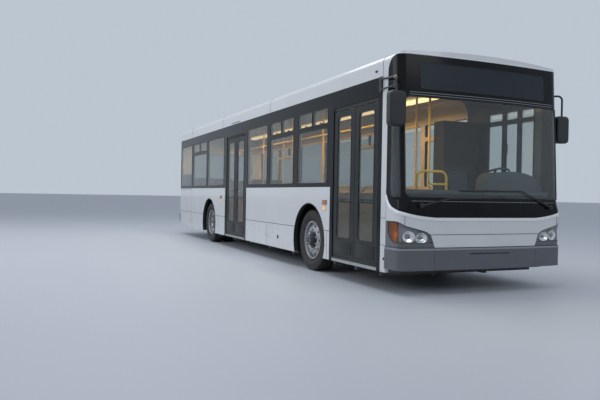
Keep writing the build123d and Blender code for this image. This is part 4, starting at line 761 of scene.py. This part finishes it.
# Both bowls of a unit: place across and up, size up, across and in, and turn to the side
BOWLS = ((0.97, 0.692, (0.92, 1.28, 0.85), 0.05), (1.133, 0.706, (1.02, 1.24, 0.65), 0.15))
bm, bulb_bm = bmesh.new(), bmesh.new()
for side in (-1, 1):
    for y, z, size, turn in BOWLS:
        place = Matrix.Translation(front_point(y * side, z, -0.046)) @ Matrix.Rotation(turn * side, 4, "Z")
        bowl_at = place @ Matrix.Rotation(pi / 2, 4, "Y")
        lathe(bm, BOWL, bowl_at @ Matrix.Diagonal((*size, 1.0)), 40)
        lathe(bulb_bm, BULB, bowl_at, 16)
add_piece("headlamp_reflectors", bm, reflector)
add_piece("headlamp_bulbs", bulb_bm, glass("bulb_glass", (0.95, 0.97, 1.0), 0.0))


def skin_edge(edge):
    """Whether an edge of a front lamp lies in the skin."""
    return all(skin_depth(corner.co) < 0.004 and corner.co.x > 5.4 for corner in edge.verts)


bm = bmesh.new()
for name in ("headlamps", "amber_lamps"):
    trace(bm, name, skin_edge, ring(0.0035, 6))
add_seal("headlamp_seals", bm)
marker_bm, gasket_bm = bmesh.new(), bmesh.new()
for low, high in islands("amber_lamps"):
    if high.x < 4.5:
        side = 1 if low.y > 0 else -1
        wall, face, rim = side * 1.2745, side * 1.283, Vector((0.004, 0, 0.004))
        add_box(marker_bm, Vector((low.x, wall, low.z)) + rim, Vector((high.x, face, high.z)) - rim, 0.003)
        add_box(gasket_bm, (low.x, wall, low.z), (high.x, side * 1.278, high.z), 0.001)


def light_up(made, lit, off, on):
    """Gives a finish a light of its own, in another colour where a mask is one."""
    tree = made.node_tree
    wire(tree, (blend(tree, lit, off, on), tree.nodes["Principled BSDF"].inputs["Emission Color"]))


amber_moulding = surface("amber_moulding", (0.42, 0.12, 0.012), 0.18, (0.2, 1.4, 0.1), (90.0, 0.0006),
                         shader={"Coat Weight": 1.0, "Emission Strength": 0.9})
tree = amber_moulding.node_tree
light_up(amber_moulding, sums(tree, "LESS_THAN", axes(tree)["Z"], 1.04), (0.04, 0.01, 0.0), (1.0, 0.5, 0.09))
add_piece("side_markers", marker_bm, amber_moulding)
add_seal("side_marker_gaskets", gasket_bm)


def tail_zone(face):
    """Whether a tail lamp's face is its outer one."""
    return face.calc_center_median().x < -5.955


lens = add_piece("tail_lamp_lenses", cad_shell("tail_lamps", tail_zone, 0.003), red_lens)
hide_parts("tail_lamps")
tray = cad_shell("tail_lamps", lambda face: not tail_zone(face), 0.002)
add_piece("tail_lamp_trays", tray, amber_tray)
bm, gasket_bm = bmesh.new(), bmesh.new()
for side in (-1, 1):
    for z in (0.8, 0.97, 1.14):
        lamp_at = Matrix.Translation((-5.925, side * 1.05, z)) @ Matrix.Rotation(-pi / 2, 4, "Y")
        lathe(bm, [(radius, depth * 0.8) for radius, depth in BOWL], lamp_at, 32)
    for low, high in ((0.7, 0.704), (0.882, 0.888), (1.052, 1.058), (1.236, 1.24)):
        add_box(gasket_bm, (-5.963, side * 1.05 - 0.09, low), (-5.93, side * 1.05 + 0.09, high), 0.001)
add_piece("tail_lamp_reflectors", bm, reflector)
add_seal("tail_lamp_bars", gasket_bm)

# Wheels and tyres
# Steel wheels with ten nuts, and 275/70 R22.5 size tyres with five ribs, shoulder slots and ringed walls.
# The brake drum shows dark through the hand holes.
tyre_rubber = surface("tyre_rubber", (0.016, 0.016, 0.017), 0.62, (0.0, 1.2, 0.16), (700.0, 0.0012))
wheel_steel = surface("wheel_steel", (0.42, 0.43, 0.45), 0.36, (0.0, 1.3, 0.25), (260.0, 0.0005),
                      "wheel_front_left", "wheel_front_right", "wheels_rear_left", "wheels_rear_right",
                      shader={"Metallic": 0.6})


def hub_zone(tree, x, aside, z):
    """One on the hub, inside the ring of nuts."""
    up = sums(tree, "SUBTRACT", z, AXLE_Z)
    along = [sums(tree, "SUBTRACT", x, axle) for axle in (FRONT_AXLE_X, REAR_AXLE_X)]
    reach = [sums(tree, "MULTIPLY_ADD", step, step, product(tree, up, up)) for step in along]
    return sums(tree, "LESS_THAN", sums(tree, "MINIMUM", *reach), 0.138**2)


overpaint(wheel_steel, (0.075, 0.075, 0.08), hub_zone)
nut_steel = surface("nut_steel", (0.62, 0.62, 0.62), 0.3, (0.0, 1.3, 0.3), (500.0, 0.0003), shader=METAL)
drum_iron = surface("drum_iron", (0.035, 0.032, 0.03), 0.8, (0.0, 1.2, 0.5), (200.0, 0.001))
# Radius and distance from the tyre's middle plane, from the bead to the shoulder
WALL = [(0.287, 0.09), (0.3, 0.0975), (0.306, 0.0975), (0.316, 0.106), (0.3175, 0.1095), (0.322, 0.11),
        (0.326, 0.1135), (0.35, 0.1265), (0.38, 0.1355), (0.384, 0.137), (0.392, 0.137), (0.396, 0.1352),
        (0.42, 0.1335), (0.44, 0.13), (0.452, 0.1275), (0.464, 0.121), (0.473, 0.114)]
TYRE_STEPS = 144


def crown(y, depth=0.0):
    """A point of the tread, pressed in by a depth."""
    return 0.4795 - 0.0055 * (y / 0.114)**2 - depth


def tread_section():
    """The tyre's section: up one wall, over five ribs and down the other wall."""
    across = [(crown(y), y) for y in (0.104, 0.088)]
    for groove in (0.072, 0.025, -0.025, -0.072):
        foot = crown(groove, 0.012)
        across += [(crown(groove + 0.006), groove + 0.006), (foot, groove + 0.0045), (foot, groove - 0.0045),
                   (crown(groove - 0.006), groove - 0.006)]
    across += [(crown(y), y) for y in (-0.088, -0.104)]
    return WALL + across + [(radius, -y) for radius, y in reversed(WALL)] + WALL[:1]


def add_tyre(bm, centre):
    """One tyre about its axle, with slots pressed into both shoulders."""
    before = set(bm.faces)
    axle = Matrix.Translation(centre) @ Matrix.Rotation(-pi / 2, 4, "X")
    lathe(bm, tread_section(), axle, TYRE_STEPS)
    made = [face for face in bm.faces if face not in before]
    bmesh.ops.recalc_face_normals(bm, faces=made)
    slots = []
    for face in made:
        middle = face.calc_center_median() - Vector(centre)
        angle, radius = atan2(middle.z, middle.x), hypot(middle.x, middle.z)
        step = int(round((angle / (2 * pi) * TYRE_STEPS) - 0.5)) % TYRE_STEPS
        if radius > 0.466 and 0.089 < abs(middle.y) < 0.12 and step % 3 == (0 if middle.y > 0 else 1):
            slots.append(face)
    bmesh.ops.inset_region(bm, faces=slots, thickness=0.003, depth=-0.006, use_boundary=True,
                           use_even_offset=False)


NUT_SEAT = [(0.021, -0.004), (0.021, 0.004), (0.017, 0.006), (0.0, 0.006)]
NUT_STUD = [(0.01, 0.02), (0.01, 0.033), (0.008, 0.036), (0.0, 0.036)]
NUT_RING = [(0.142, -0.002), (0.142, 0.003), (0.146, 0.005), (0.192, 0.005), (0.196, 0.003), (0.196, -0.002)]
HUB_BOLT = [(0.0085, -0.003), (0.0085, 0.006), (0.007, 0.008), (0.0, 0.008)]
VALVE = [(0.006, 0.0), (0.006, 0.012), (0.004, 0.014), (0.004, 0.03), (0.0, 0.031)]
DRUM = [(0.19, -0.068), (0.205, -0.068), (0.205, 0.0), (0.198, 0.05), (0.075, 0.052), (0.075, 0.046),
        (0.19, 0.04), (0.19, -0.068)]


def add_hub(nuts_bm, drum_bm, x, side, face, cap):
    """Ten wheel nuts on their ring, the hub's small bolts and the drum behind."""
    out = Vector((0, side, 0))
    centre = Vector((x, side * TRACK_Y, AXLE_Z))

    def around(share, radius, lift):
        angle = 2 * pi * share
        return facing(centre + Vector((radius * cos(angle), side * lift, radius * sin(angle))), out)

    for i in range(10):
        place = around((i + 0.5) / 10, 0.1675, face)
        lathe(nuts_bm, NUT_SEAT, place, 20)
        bmesh.ops.create_cone(nuts_bm, cap_ends=True, segments=6, radius1=0.018, radius2=0.0165, depth=0.02,
                              matrix=place @ Matrix.Translation((0, 0, 0.014)))
        lathe(nuts_bm, NUT_STUD, place, 12)
    lathe(nuts_bm, NUT_RING, facing(centre + out * face, out), 64)
    for i in range(6):
        lathe(nuts_bm, HUB_BOLT, around(i / 6, 0.056, cap), 6)
    valve_at = centre + Vector((0.0, side * (face - 0.01), 0.262))
    lathe(nuts_bm, VALVE, facing(valve_at, out + Vector((0, 0, -0.4))), 10)
    front = face > 0
    drum_at = facing(centre + out * (0.0 if front else -0.14), out)
    lathe(drum_bm, DRUM if front else [(radius * 0.93, height * 0.9) for radius, height in DRUM], drum_at, 64)


# Wheel and tyre nodes, axle, faces of the disc and the cap from the tyre's middle, and the tyres' Y
AXLES = (("front", "wheel_front", "tyre_front", FRONT_AXLE_X, 0.103, 0.1715, (TRACK_Y,)),
         ("rear", "wheels_rear", "tyres_rear", REAR_AXLE_X, -0.06, 0.066, (TRACK_Y, 0.78)))
for label, wheels, tyre, x, face, cap, middles in AXLES:
    for side, hand in ((-1, "right"), (1, "left")):
        bm, nuts_bm, drum_bm = bmesh.new(), bmesh.new(), bmesh.new()
        for middle in middles:
            add_tyre(bm, (x, side * middle, AXLE_Z))
        piece = add_piece(f"{tyre}_{hand}_tread", bm, tyre_rubber, f"{wheels}_{hand}")
        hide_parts(f"{tyre}_{hand}")
        add_hub(nuts_bm, drum_bm, x, side, face, cap)
        add_piece(f"wheel_nuts_{label}_{hand}", nuts_bm, nut_steel, f"{wheels}_{hand}")
        add_piece(f"brake_drum_{label}_{hand}", drum_bm, drum_iron, f"{wheels}_{hand}")
bm = bmesh.new()
for x in (FRONT_AXLE_X, REAR_AXLE_X):
    for side in (-1, 1):
        angles = [-0.405 + (pi + 0.81) * i / 60 for i in range(61)]
        arch = [Vector((x + 0.576 * cos(turn), side * 1.274, AXLE_Z + 0.576 * sin(turn))) for turn in angles]
        sweep(bm, arch, ring(0.008, 8), up=(0, side, 0))
        sweep(bm, [point - Vector((0, side * 0.029, 0)) for point in arch], bar(0.001, 0.03), up=(0, side, 0))
add_seal("arch_lips", bm)

# Doors
# Each leaf is a dark frame with one tall pane in a rubber seal, a foot panel and a yellow bar inside.
# Soft edges close the joint between the leaves, and brushes close the gaps over and under them.
door_black = surface("door_black", (0.011, 0.012, 0.014), 0.34, (0.3, 1.6, 0.12), (500.0, 0.0003),
                     *(f"door_leaf_{leaf}" for leaf in DOOR_LEAVES), shader={"Specular IOR Level": 0.3})
yellow_handle = surface("yellow_rail", (0.8, 0.5, 0.03), 0.3, (0.2, 0.4, 0.1), (300.0, 0.0002),
                        "grab_rails", shader={"Coat Weight": 0.5})
# The yellow bar's run: distance from the pivot edge or the free edge, Y and Z
HANDLE_START = ((0.055, -1.226, 1.313), (0.055, -1.184, 1.313), (0.067, -1.172, 1.313))
HANDLE_END = ((0.19, -1.172, 1.313), (0.16, -1.172, 1.306), (0.075, -1.172, 1.245), (0.055, -1.184, 1.235),
              (0.055, -1.226, 1.235))
for leaf in DOOR_LEAVES:
    low, high = islands(f"door_leaf_{leaf}")[0]
    pane = (low.x + 0.09, high.x - 0.09)
    inner = lambda edge: all(end.co.y < -1.264 and pane[0] < end.co.x < pane[1] for end in edge.verts)
    free, far, out = (low.x, high.x, -1) if leaf.endswith("front") else (high.x, low.x, 1)
    seal_bm, panel_bm, handle_bm = bmesh.new(), bmesh.new(), bmesh.new()
    trace(seal_bm, f"door_leaf_{leaf}", inner, ring(0.008, 8, 0.6), (0, -1, 0))
    add_box(seal_bm, (free, -1.262, 0.335), (free + out * 0.003, -1.228, 2.375), 0.001)
    add_seal(f"door_seals_{leaf}", seal_bm, f"leaf_{leaf}")
    add_box(panel_bm, (low.x + 0.06, -1.269, 0.365), (high.x - 0.06, -1.2645, 0.545), 0.004, 3)
    add_piece(f"door_foot_panel_{leaf}", panel_bm, door_black, f"leaf_{leaf}")
    run = [(far + out * x, y, z) for x, y, z in HANDLE_START]
    run += [(free - out * x, y, z) for x, y, z in HANDLE_END]
    sweep(handle_bm, run, ring(0.0135, 14))
    add_piece(f"door_handle_{leaf}", handle_bm, yellow_handle, f"leaf_{leaf}")
bm = bmesh.new()
for first, last in ((4.05, 5.31), (-1.28, 0.04)):
    add_box(bm, (first, -1.266, 2.393), (last, -1.25, 2.442), 0.002)
    add_box(bm, (first, -1.268, 0.284), (last, -1.257, 0.315), 0.002)
add_seal("door_brushes", bm)

# Mirrors
# Flat glass over a wide-angle glass in each black housing, a seam round it, and an amber clip on one arm.
mirror_glass = surface("mirror_glass", (0.8, 0.82, 0.84), 0.02, (1.0, 3.0, 0.05), (20.0, 0.0), shader=METAL)
mirror_black = surface("mirror_black", (0.018, 0.019, 0.022), 0.42, (0.5, 3.2, 0.05), (1100.0, 0.0004),
                       "mirrors")
glass_bm, frame_bm = bmesh.new(), bmesh.new()
for x, y, z, half_w, half_h in ((5.9, -1.414, 2.21, 0.112, 0.205), (5.66, 1.397, 2.144, 0.105, 0.186)):
    split = z - 0.25 * half_h
    for low, high in ((z - half_h + 0.022, split - 0.006), (split + 0.006, z + half_h - 0.022)):
        add_box(glass_bm, (x - 0.0015, y - half_w + 0.02, low), (x + 0.002, y + half_w - 0.02, high), 0.0012)
    rim = [(x, y + a, z + b) for a, b in bar(half_w - 0.012, half_h - 0.014)]
    sweep(frame_bm, rim, ring(0.004, 8), True)
    add_box(frame_bm, (x - 0.002, y - half_w + 0.015, split - 0.004),
            (x + 0.002, y + half_w - 0.015, split + 0.004), 0.001)
add_piece("mirror_glasses", glass_bm, mirror_glass)
add_piece("mirror_rims", frame_bm, mirror_black)
bm = bmesh.new()
add_rod(bm, (5.868, -1.3915, 2.583), (5.884, -1.395, 2.581), 0.017, 20)
add_box(bm, (5.868, -1.402, 2.59), (5.884, -1.384, 2.612), 0.002)
add_piece("mirror_arm_clip", bm, amber_tray)

# Inside and underneath
# Painted steel and iron under the floor, vinyl and moulded plastic over it. The fittings of wipers and
# dashboard. The road side of the wheel boxes is black like the arches.
surface("frame_paint", (0.035, 0.036, 0.038), 0.6, (0.0, 1.6, 0.7), (200.0, 0.001),
        "chassis_frame", "front_axle", "rear_axle", "knuckle_left", "knuckle_right")
surface("engine_iron", (0.18, 0.17, 0.16), 0.6, (0.2, 1.6, 0.5), (120.0, 0.0015), "engine_block",
        shader={"Metallic": 0.6})
surface("floor_vinyl", (0.11, 0.115, 0.13), 0.55, (0.2, 1.5, 0.2), (900.0, 0.0004), "floor")
grey_panel = surface("grey_panel", (0.3, 0.29, 0.27), 0.55, (0.2, 1.5, 0.2), (700.0, 0.0004), "wheel_boxes")
for axle, inner_y in ((FRONT_AXLE_X, 0.4405), (REAR_AXLE_X, 0.5505)):
    well = zone((axle - 0.6475, axle + 0.6475), (inner_y, 1.4), (0.0, 1.088))
    overpaint(grey_panel, (0.018, 0.018, 0.018), well)
surface("dark_plastic", (0.03, 0.032, 0.037), 0.5, (0.2, 1.4, 0.1), (900.0, 0.0006),
        "steering_wheel", "seat_shells", "cab_partition")
surface("dash_skin", (0.045, 0.062, 0.078), 0.45, (0.2, 1.4, 0.1), (700.0, 0.0006), "dashboard")
wiper_black = surface("wiper_black", (0.015, 0.015, 0.016), 0.5, (0.5, 2.0, 0.1), (600.0, 0.0003), "wipers")

# Cap nuts, springs and blade joints of the wipers: pivot, outer and inner end of the blade, across and up
WIPERS = (((-1.0, 1.085), (-0.62, 1.172), (0.23, 1.19)), ((1.04, 1.078), (0.528, 1.279), (-0.44, 1.272)))
CAP_NUT = [(0.03, -0.003), (0.03, 0.004), (0.024, 0.01), (0.013, 0.012), (0.012, 0.018), (0.0, 0.02)]
bm = bmesh.new()
for pivot, outer, inner in WIPERS:
    lathe(bm, CAP_NUT, facing(front_point(*pivot, 0.042), (1, 0, 0)), 24)
    root, tip = front_point(*pivot, 0.031), front_point(*outer, 0.031)
    sweep(bm, [root.lerp(tip, share) for share in (0.06, 0.34)], bar(0.013, 0.01))
    for share in (0.12, 0.38, 0.62, 0.88):
        y, z = outer[0] + (inner[0] - outer[0]) * share, outer[1] + (inner[1] - outer[1]) * share
        add_rod(bm, front_point(y - 0.01, z, 0.024), front_point(y + 0.01, z, 0.024), 0.0145, 12)
add_piece("wiper_fittings", bm, wiper_black)

# Instrument panel with two dials under the driver's dome, and rows of rocker switches beside it
dial_black = surface("dial_black", (0.01, 0.011, 0.013), 0.25, (0.0, 0.1, 0.0), (900.0, 0.0002))
bm, switch_bm = bmesh.new(), bmesh.new()
for aside, radius in ((-0.11, 0.062), (0.11, 0.062), (0.0, 0.03)):
    dial = [(radius, -0.002), (radius, 0.01), (radius - 0.005, 0.012), (radius - 0.008, 0.006),
            (0.006, 0.005), (0.0, 0.008)]
    lathe(bm, dial, facing((5.3985, 0.7 + aside, 1.405), (-1, 0, 0)), 40)
for row in range(2):
    for i in range(5):
        for first in (0.27, 0.98):
            y, z = first + i * 0.03, 1.335 + row * 0.045
            add_box(switch_bm, (5.39, y, z), (5.402, y + 0.022, z + 0.036), 0.002)
add_piece("instrument_dials", bm, dial_black)
add_piece("rocker_switches", switch_bm, dial_black)
lamp_diffuser = surface("lamp_diffuser", (0.8, 0.72, 0.58), 0.5, (0.2, 0.3, 0.0), (500.0, 0.0003),
                        "ceiling_lamps", shader={"Emission Strength": 1.5})
# Lit behind the cab, and over the entrance too on the door side
tree = lamp_diffuser.node_tree
x, y, z = axes(tree)
over_door = product(tree, sums(tree, "LESS_THAN", y, 0.0), 1.5)
lit = sums(tree, "LESS_THAN", sums(tree, "SUBTRACT", x, over_door), CAB_START_X)
light_up(lamp_diffuser, lit, (0.0, 0.0, 0.0), (1.0, 0.7, 0.34))

# Seats
# Each moulded shell carries a foam seat pad and a back pad in a blue woven cover, piped round the edge.
# One pad of each kind is blown up as cloth, sewn and set on every seat. The aisle seats have a yellow handle.
weave, given, result = new_effect("weave", ["Height", "Tone"], Threads=900.0)
x, y, z = axes(weave)
warp = sums(weave, "SINE", product(weave, sums(weave, "ADD", x, z), given["Threads"]))
weft = sums(weave, "SINE", product(weave, y, given["Threads"]))
wire(weave, (product(weave, warp, weft), result["Height"]), (noise(weave, 60.0, 3.0), result["Tone"]))

WOOL = {"Roughness": 0.92, "Sheen Weight": 0.35, "Sheen Roughness": 0.5}
seat_cloth, tree, shader = new_finish("seat_cloth", WOOL)
threads = effect(tree, weave)
cover = blend(tree, ramp(tree, threads["Tone"], 0.4, 0.62), (0.03, 0.045, 0.105), (0.055, 0.075, 0.15))
raised = node(tree, "Bump", {"Height": threads["Height"], "Distance": 0.0006, "Strength": 0.8})
wire(tree, (cover, shader.inputs["Base Color"]), (raised.outputs[0], shader.inputs["Normal"]))
SEAT_PAD, BACK_PAD = Vector((0.375, 0.4, 0.042)), Vector((0.44, 0.4, 0.041))
PAD_CAP = 0.014


def blown_pad(name, size, voxel):
    """A foam pad on the ground at the origin, filled out as cloth under pressure."""
    bm = bmesh.new()
    half = Vector((size.x / 2 - 0.008, size.y / 2 - 0.008, 0.0))
    add_box(bm, (-half.x, -half.y, 0.002), (half.x, half.y, size.z - 0.012), 0.01, 3)
    mesh = bpy.data.meshes.new(name)
    bm.to_mesh(mesh)
    bm.free()
    pad = bpy.data.objects.new(name, mesh)
    scene.collection.objects.link(pad)
    remesh = pad.modifiers.new("remesh", "REMESH")
    remesh.mode = "VOXEL"
    remesh.voxel_size = voxel
    start = bpy.data.meshes.new_from_object(pad.evaluated_get(bpy.context.evaluated_depsgraph_get()))
    pad.modifiers.clear()
    pad.data = start
    bm = bmesh.new()
    bm.from_mesh(start)
    cloth = pad.modifiers.new("cloth", "CLOTH")
    cloth.settings.use_pressure = True
    cloth.settings.uniform_pressure_force = 4.0
    cloth.settings.effector_weights.gravity = 0.0
    for step in range(1, 21):
        scene.frame_set(step)
    blown = pad.evaluated_get(bpy.context.evaluated_depsgraph_get()).to_mesh()
    for corner, moved in zip(bm.verts, blown.vertices):
        move = moved.co - corner.co
        corner.co += move * min(1.0, PAD_CAP / max(move.length, 1e-6))
        corner.co.z = max(0.0, corner.co.z)
    scene.frame_set(1)
    bpy.data.objects.remove(pad)
    bmesh.ops.subdivide_edges(bm, edges=bm.edges, cuts=1, use_grid_fill=True, smooth=0.6)
    bmesh.ops.smooth_vert(bm, verts=bm.verts, factor=0.5, use_axis_x=True, use_axis_y=True, use_axis_z=True)
    return bm


def sewn(bm, at_x):
    """Pulls the top of a pad down along seams across it."""
    for corner in bm.verts:
        if corner.co.z > 0.018:
            corner.co.z -= 0.006 * sum(max(0.0, 1 - abs(corner.co.x - x) / 0.016) for x in at_x)
    return bm


def outline_at(bm, z):
    """A pad's outline at one height."""
    cut = bm.copy()
    parts = cut.verts[:] + cut.edges[:] + cut.faces[:]
    made = bmesh.ops.bisect_plane(cut, geom=parts, plane_co=(0, 0, z), plane_no=(0, 0, 1))["geom_cut"]
    corners = [item.co.copy() for item in made if isinstance(item, bmesh.types.BMVert)]
    cut.free()
    return sorted(corners, key=lambda point: atan2(point.y, point.x))[::2]


def copies(pad, piping, places):
    """The pad and its piping at every place, as two bmeshes."""
    pads, cords = bmesh.new(), bmesh.new()
    mesh = bpy.data.meshes.new("pad")
    pad.to_mesh(mesh)
    for place in places:
        first = len(pads.verts)
        pads.from_mesh(mesh)
        pads.verts.ensure_lookup_table()
        bmesh.ops.transform(pads, matrix=place, verts=pads.verts[first:])
        sweep(cords, [place @ point for point in piping], ring(0.0035, 6), True, place.to_3x3().col[2])
    bpy.data.meshes.remove(mesh)
    return pads, cords


LEAN = atan2(0.09, 0.535)
along, out = Vector((-sin(LEAN), 0, cos(LEAN))), Vector((cos(LEAN), 0, sin(LEAN)))
BACK_TURN = Matrix((-along, Vector((0, 1, 0)), out)).transposed().to_4x4()
seat_places, back_places = [], []
for low, high in islands("seat_pads"):
    middle = (low + high) / 2
    if high.z - low.z < 0.1:
        seat_places.append(Matrix.Translation((middle.x, middle.y, low.z)))
    else:
        back_places.append(Matrix.Translation(middle - out * 0.021 + Vector((0.0015, 0, 0))) @ BACK_TURN)
seat_pad = sewn(blown_pad("seat_pad", SEAT_PAD, 0.023), (-0.055, 0.065))
back_pad = sewn(blown_pad("back_pad", BACK_PAD, 0.024), (-0.13, 0.08))
for name, pad, places, level in (("seat_cushions", seat_pad, seat_places, 0.03),
                                 ("back_cushions", back_pad, back_places, 0.028)):
    pads, cords = copies(pad, outline_at(pad, level), places)
    cushions = add_piece(name, pads, seat_cloth)
    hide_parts("seat_pads")
    add_piece(f"{name}_piping", cords, seal_rubber)
GRIP_PATH = ((-0.215, 0.15, -0.012), (-0.262, 0.15, -0.014), (-0.268, 0.135, -0.014), (-0.268, 0.045, -0.014),
             (-0.262, 0.03, -0.014), (-0.215, 0.03, -0.012))
bm = bmesh.new()
for place in back_places:
    top = place @ Vector((-0.235, 0, 0.0))
    if abs(top.y) < 0.6 and top.z < 2.0:
        turn = 1 if top.y < 0 else -1
        sweep(bm, [place @ Vector((x, turn * y, z)) for x, y, z in GRIP_PATH], ring(0.01, 10))
add_piece("seat_handles", bm, yellow_handle)

# Warm lamps under the ceiling: name, X, Y, the point it looks at, length and power
LAMPS = [(f"saloon_{name}_{side + 1}", x, side * 0.67, (x, side * 0.6, 0.0), 2.6, 34.0)
         for name, x in (("front", 2.5), ("middle", -0.8), ("rear", -4.0)) for side in (-1, 1)]
for name, x, y, target, length, power in LAMPS + [("entrance", 4.7, -0.75, (4.75, -0.95, 0.0), 1.1, 22.0)]:
    lamp = soft_box(name, (x, y, 2.62), target, length, 0.15, power, (1.0, 0.66, 0.31))
    lamp.visible_transmission = lamp.visible_glossy = False
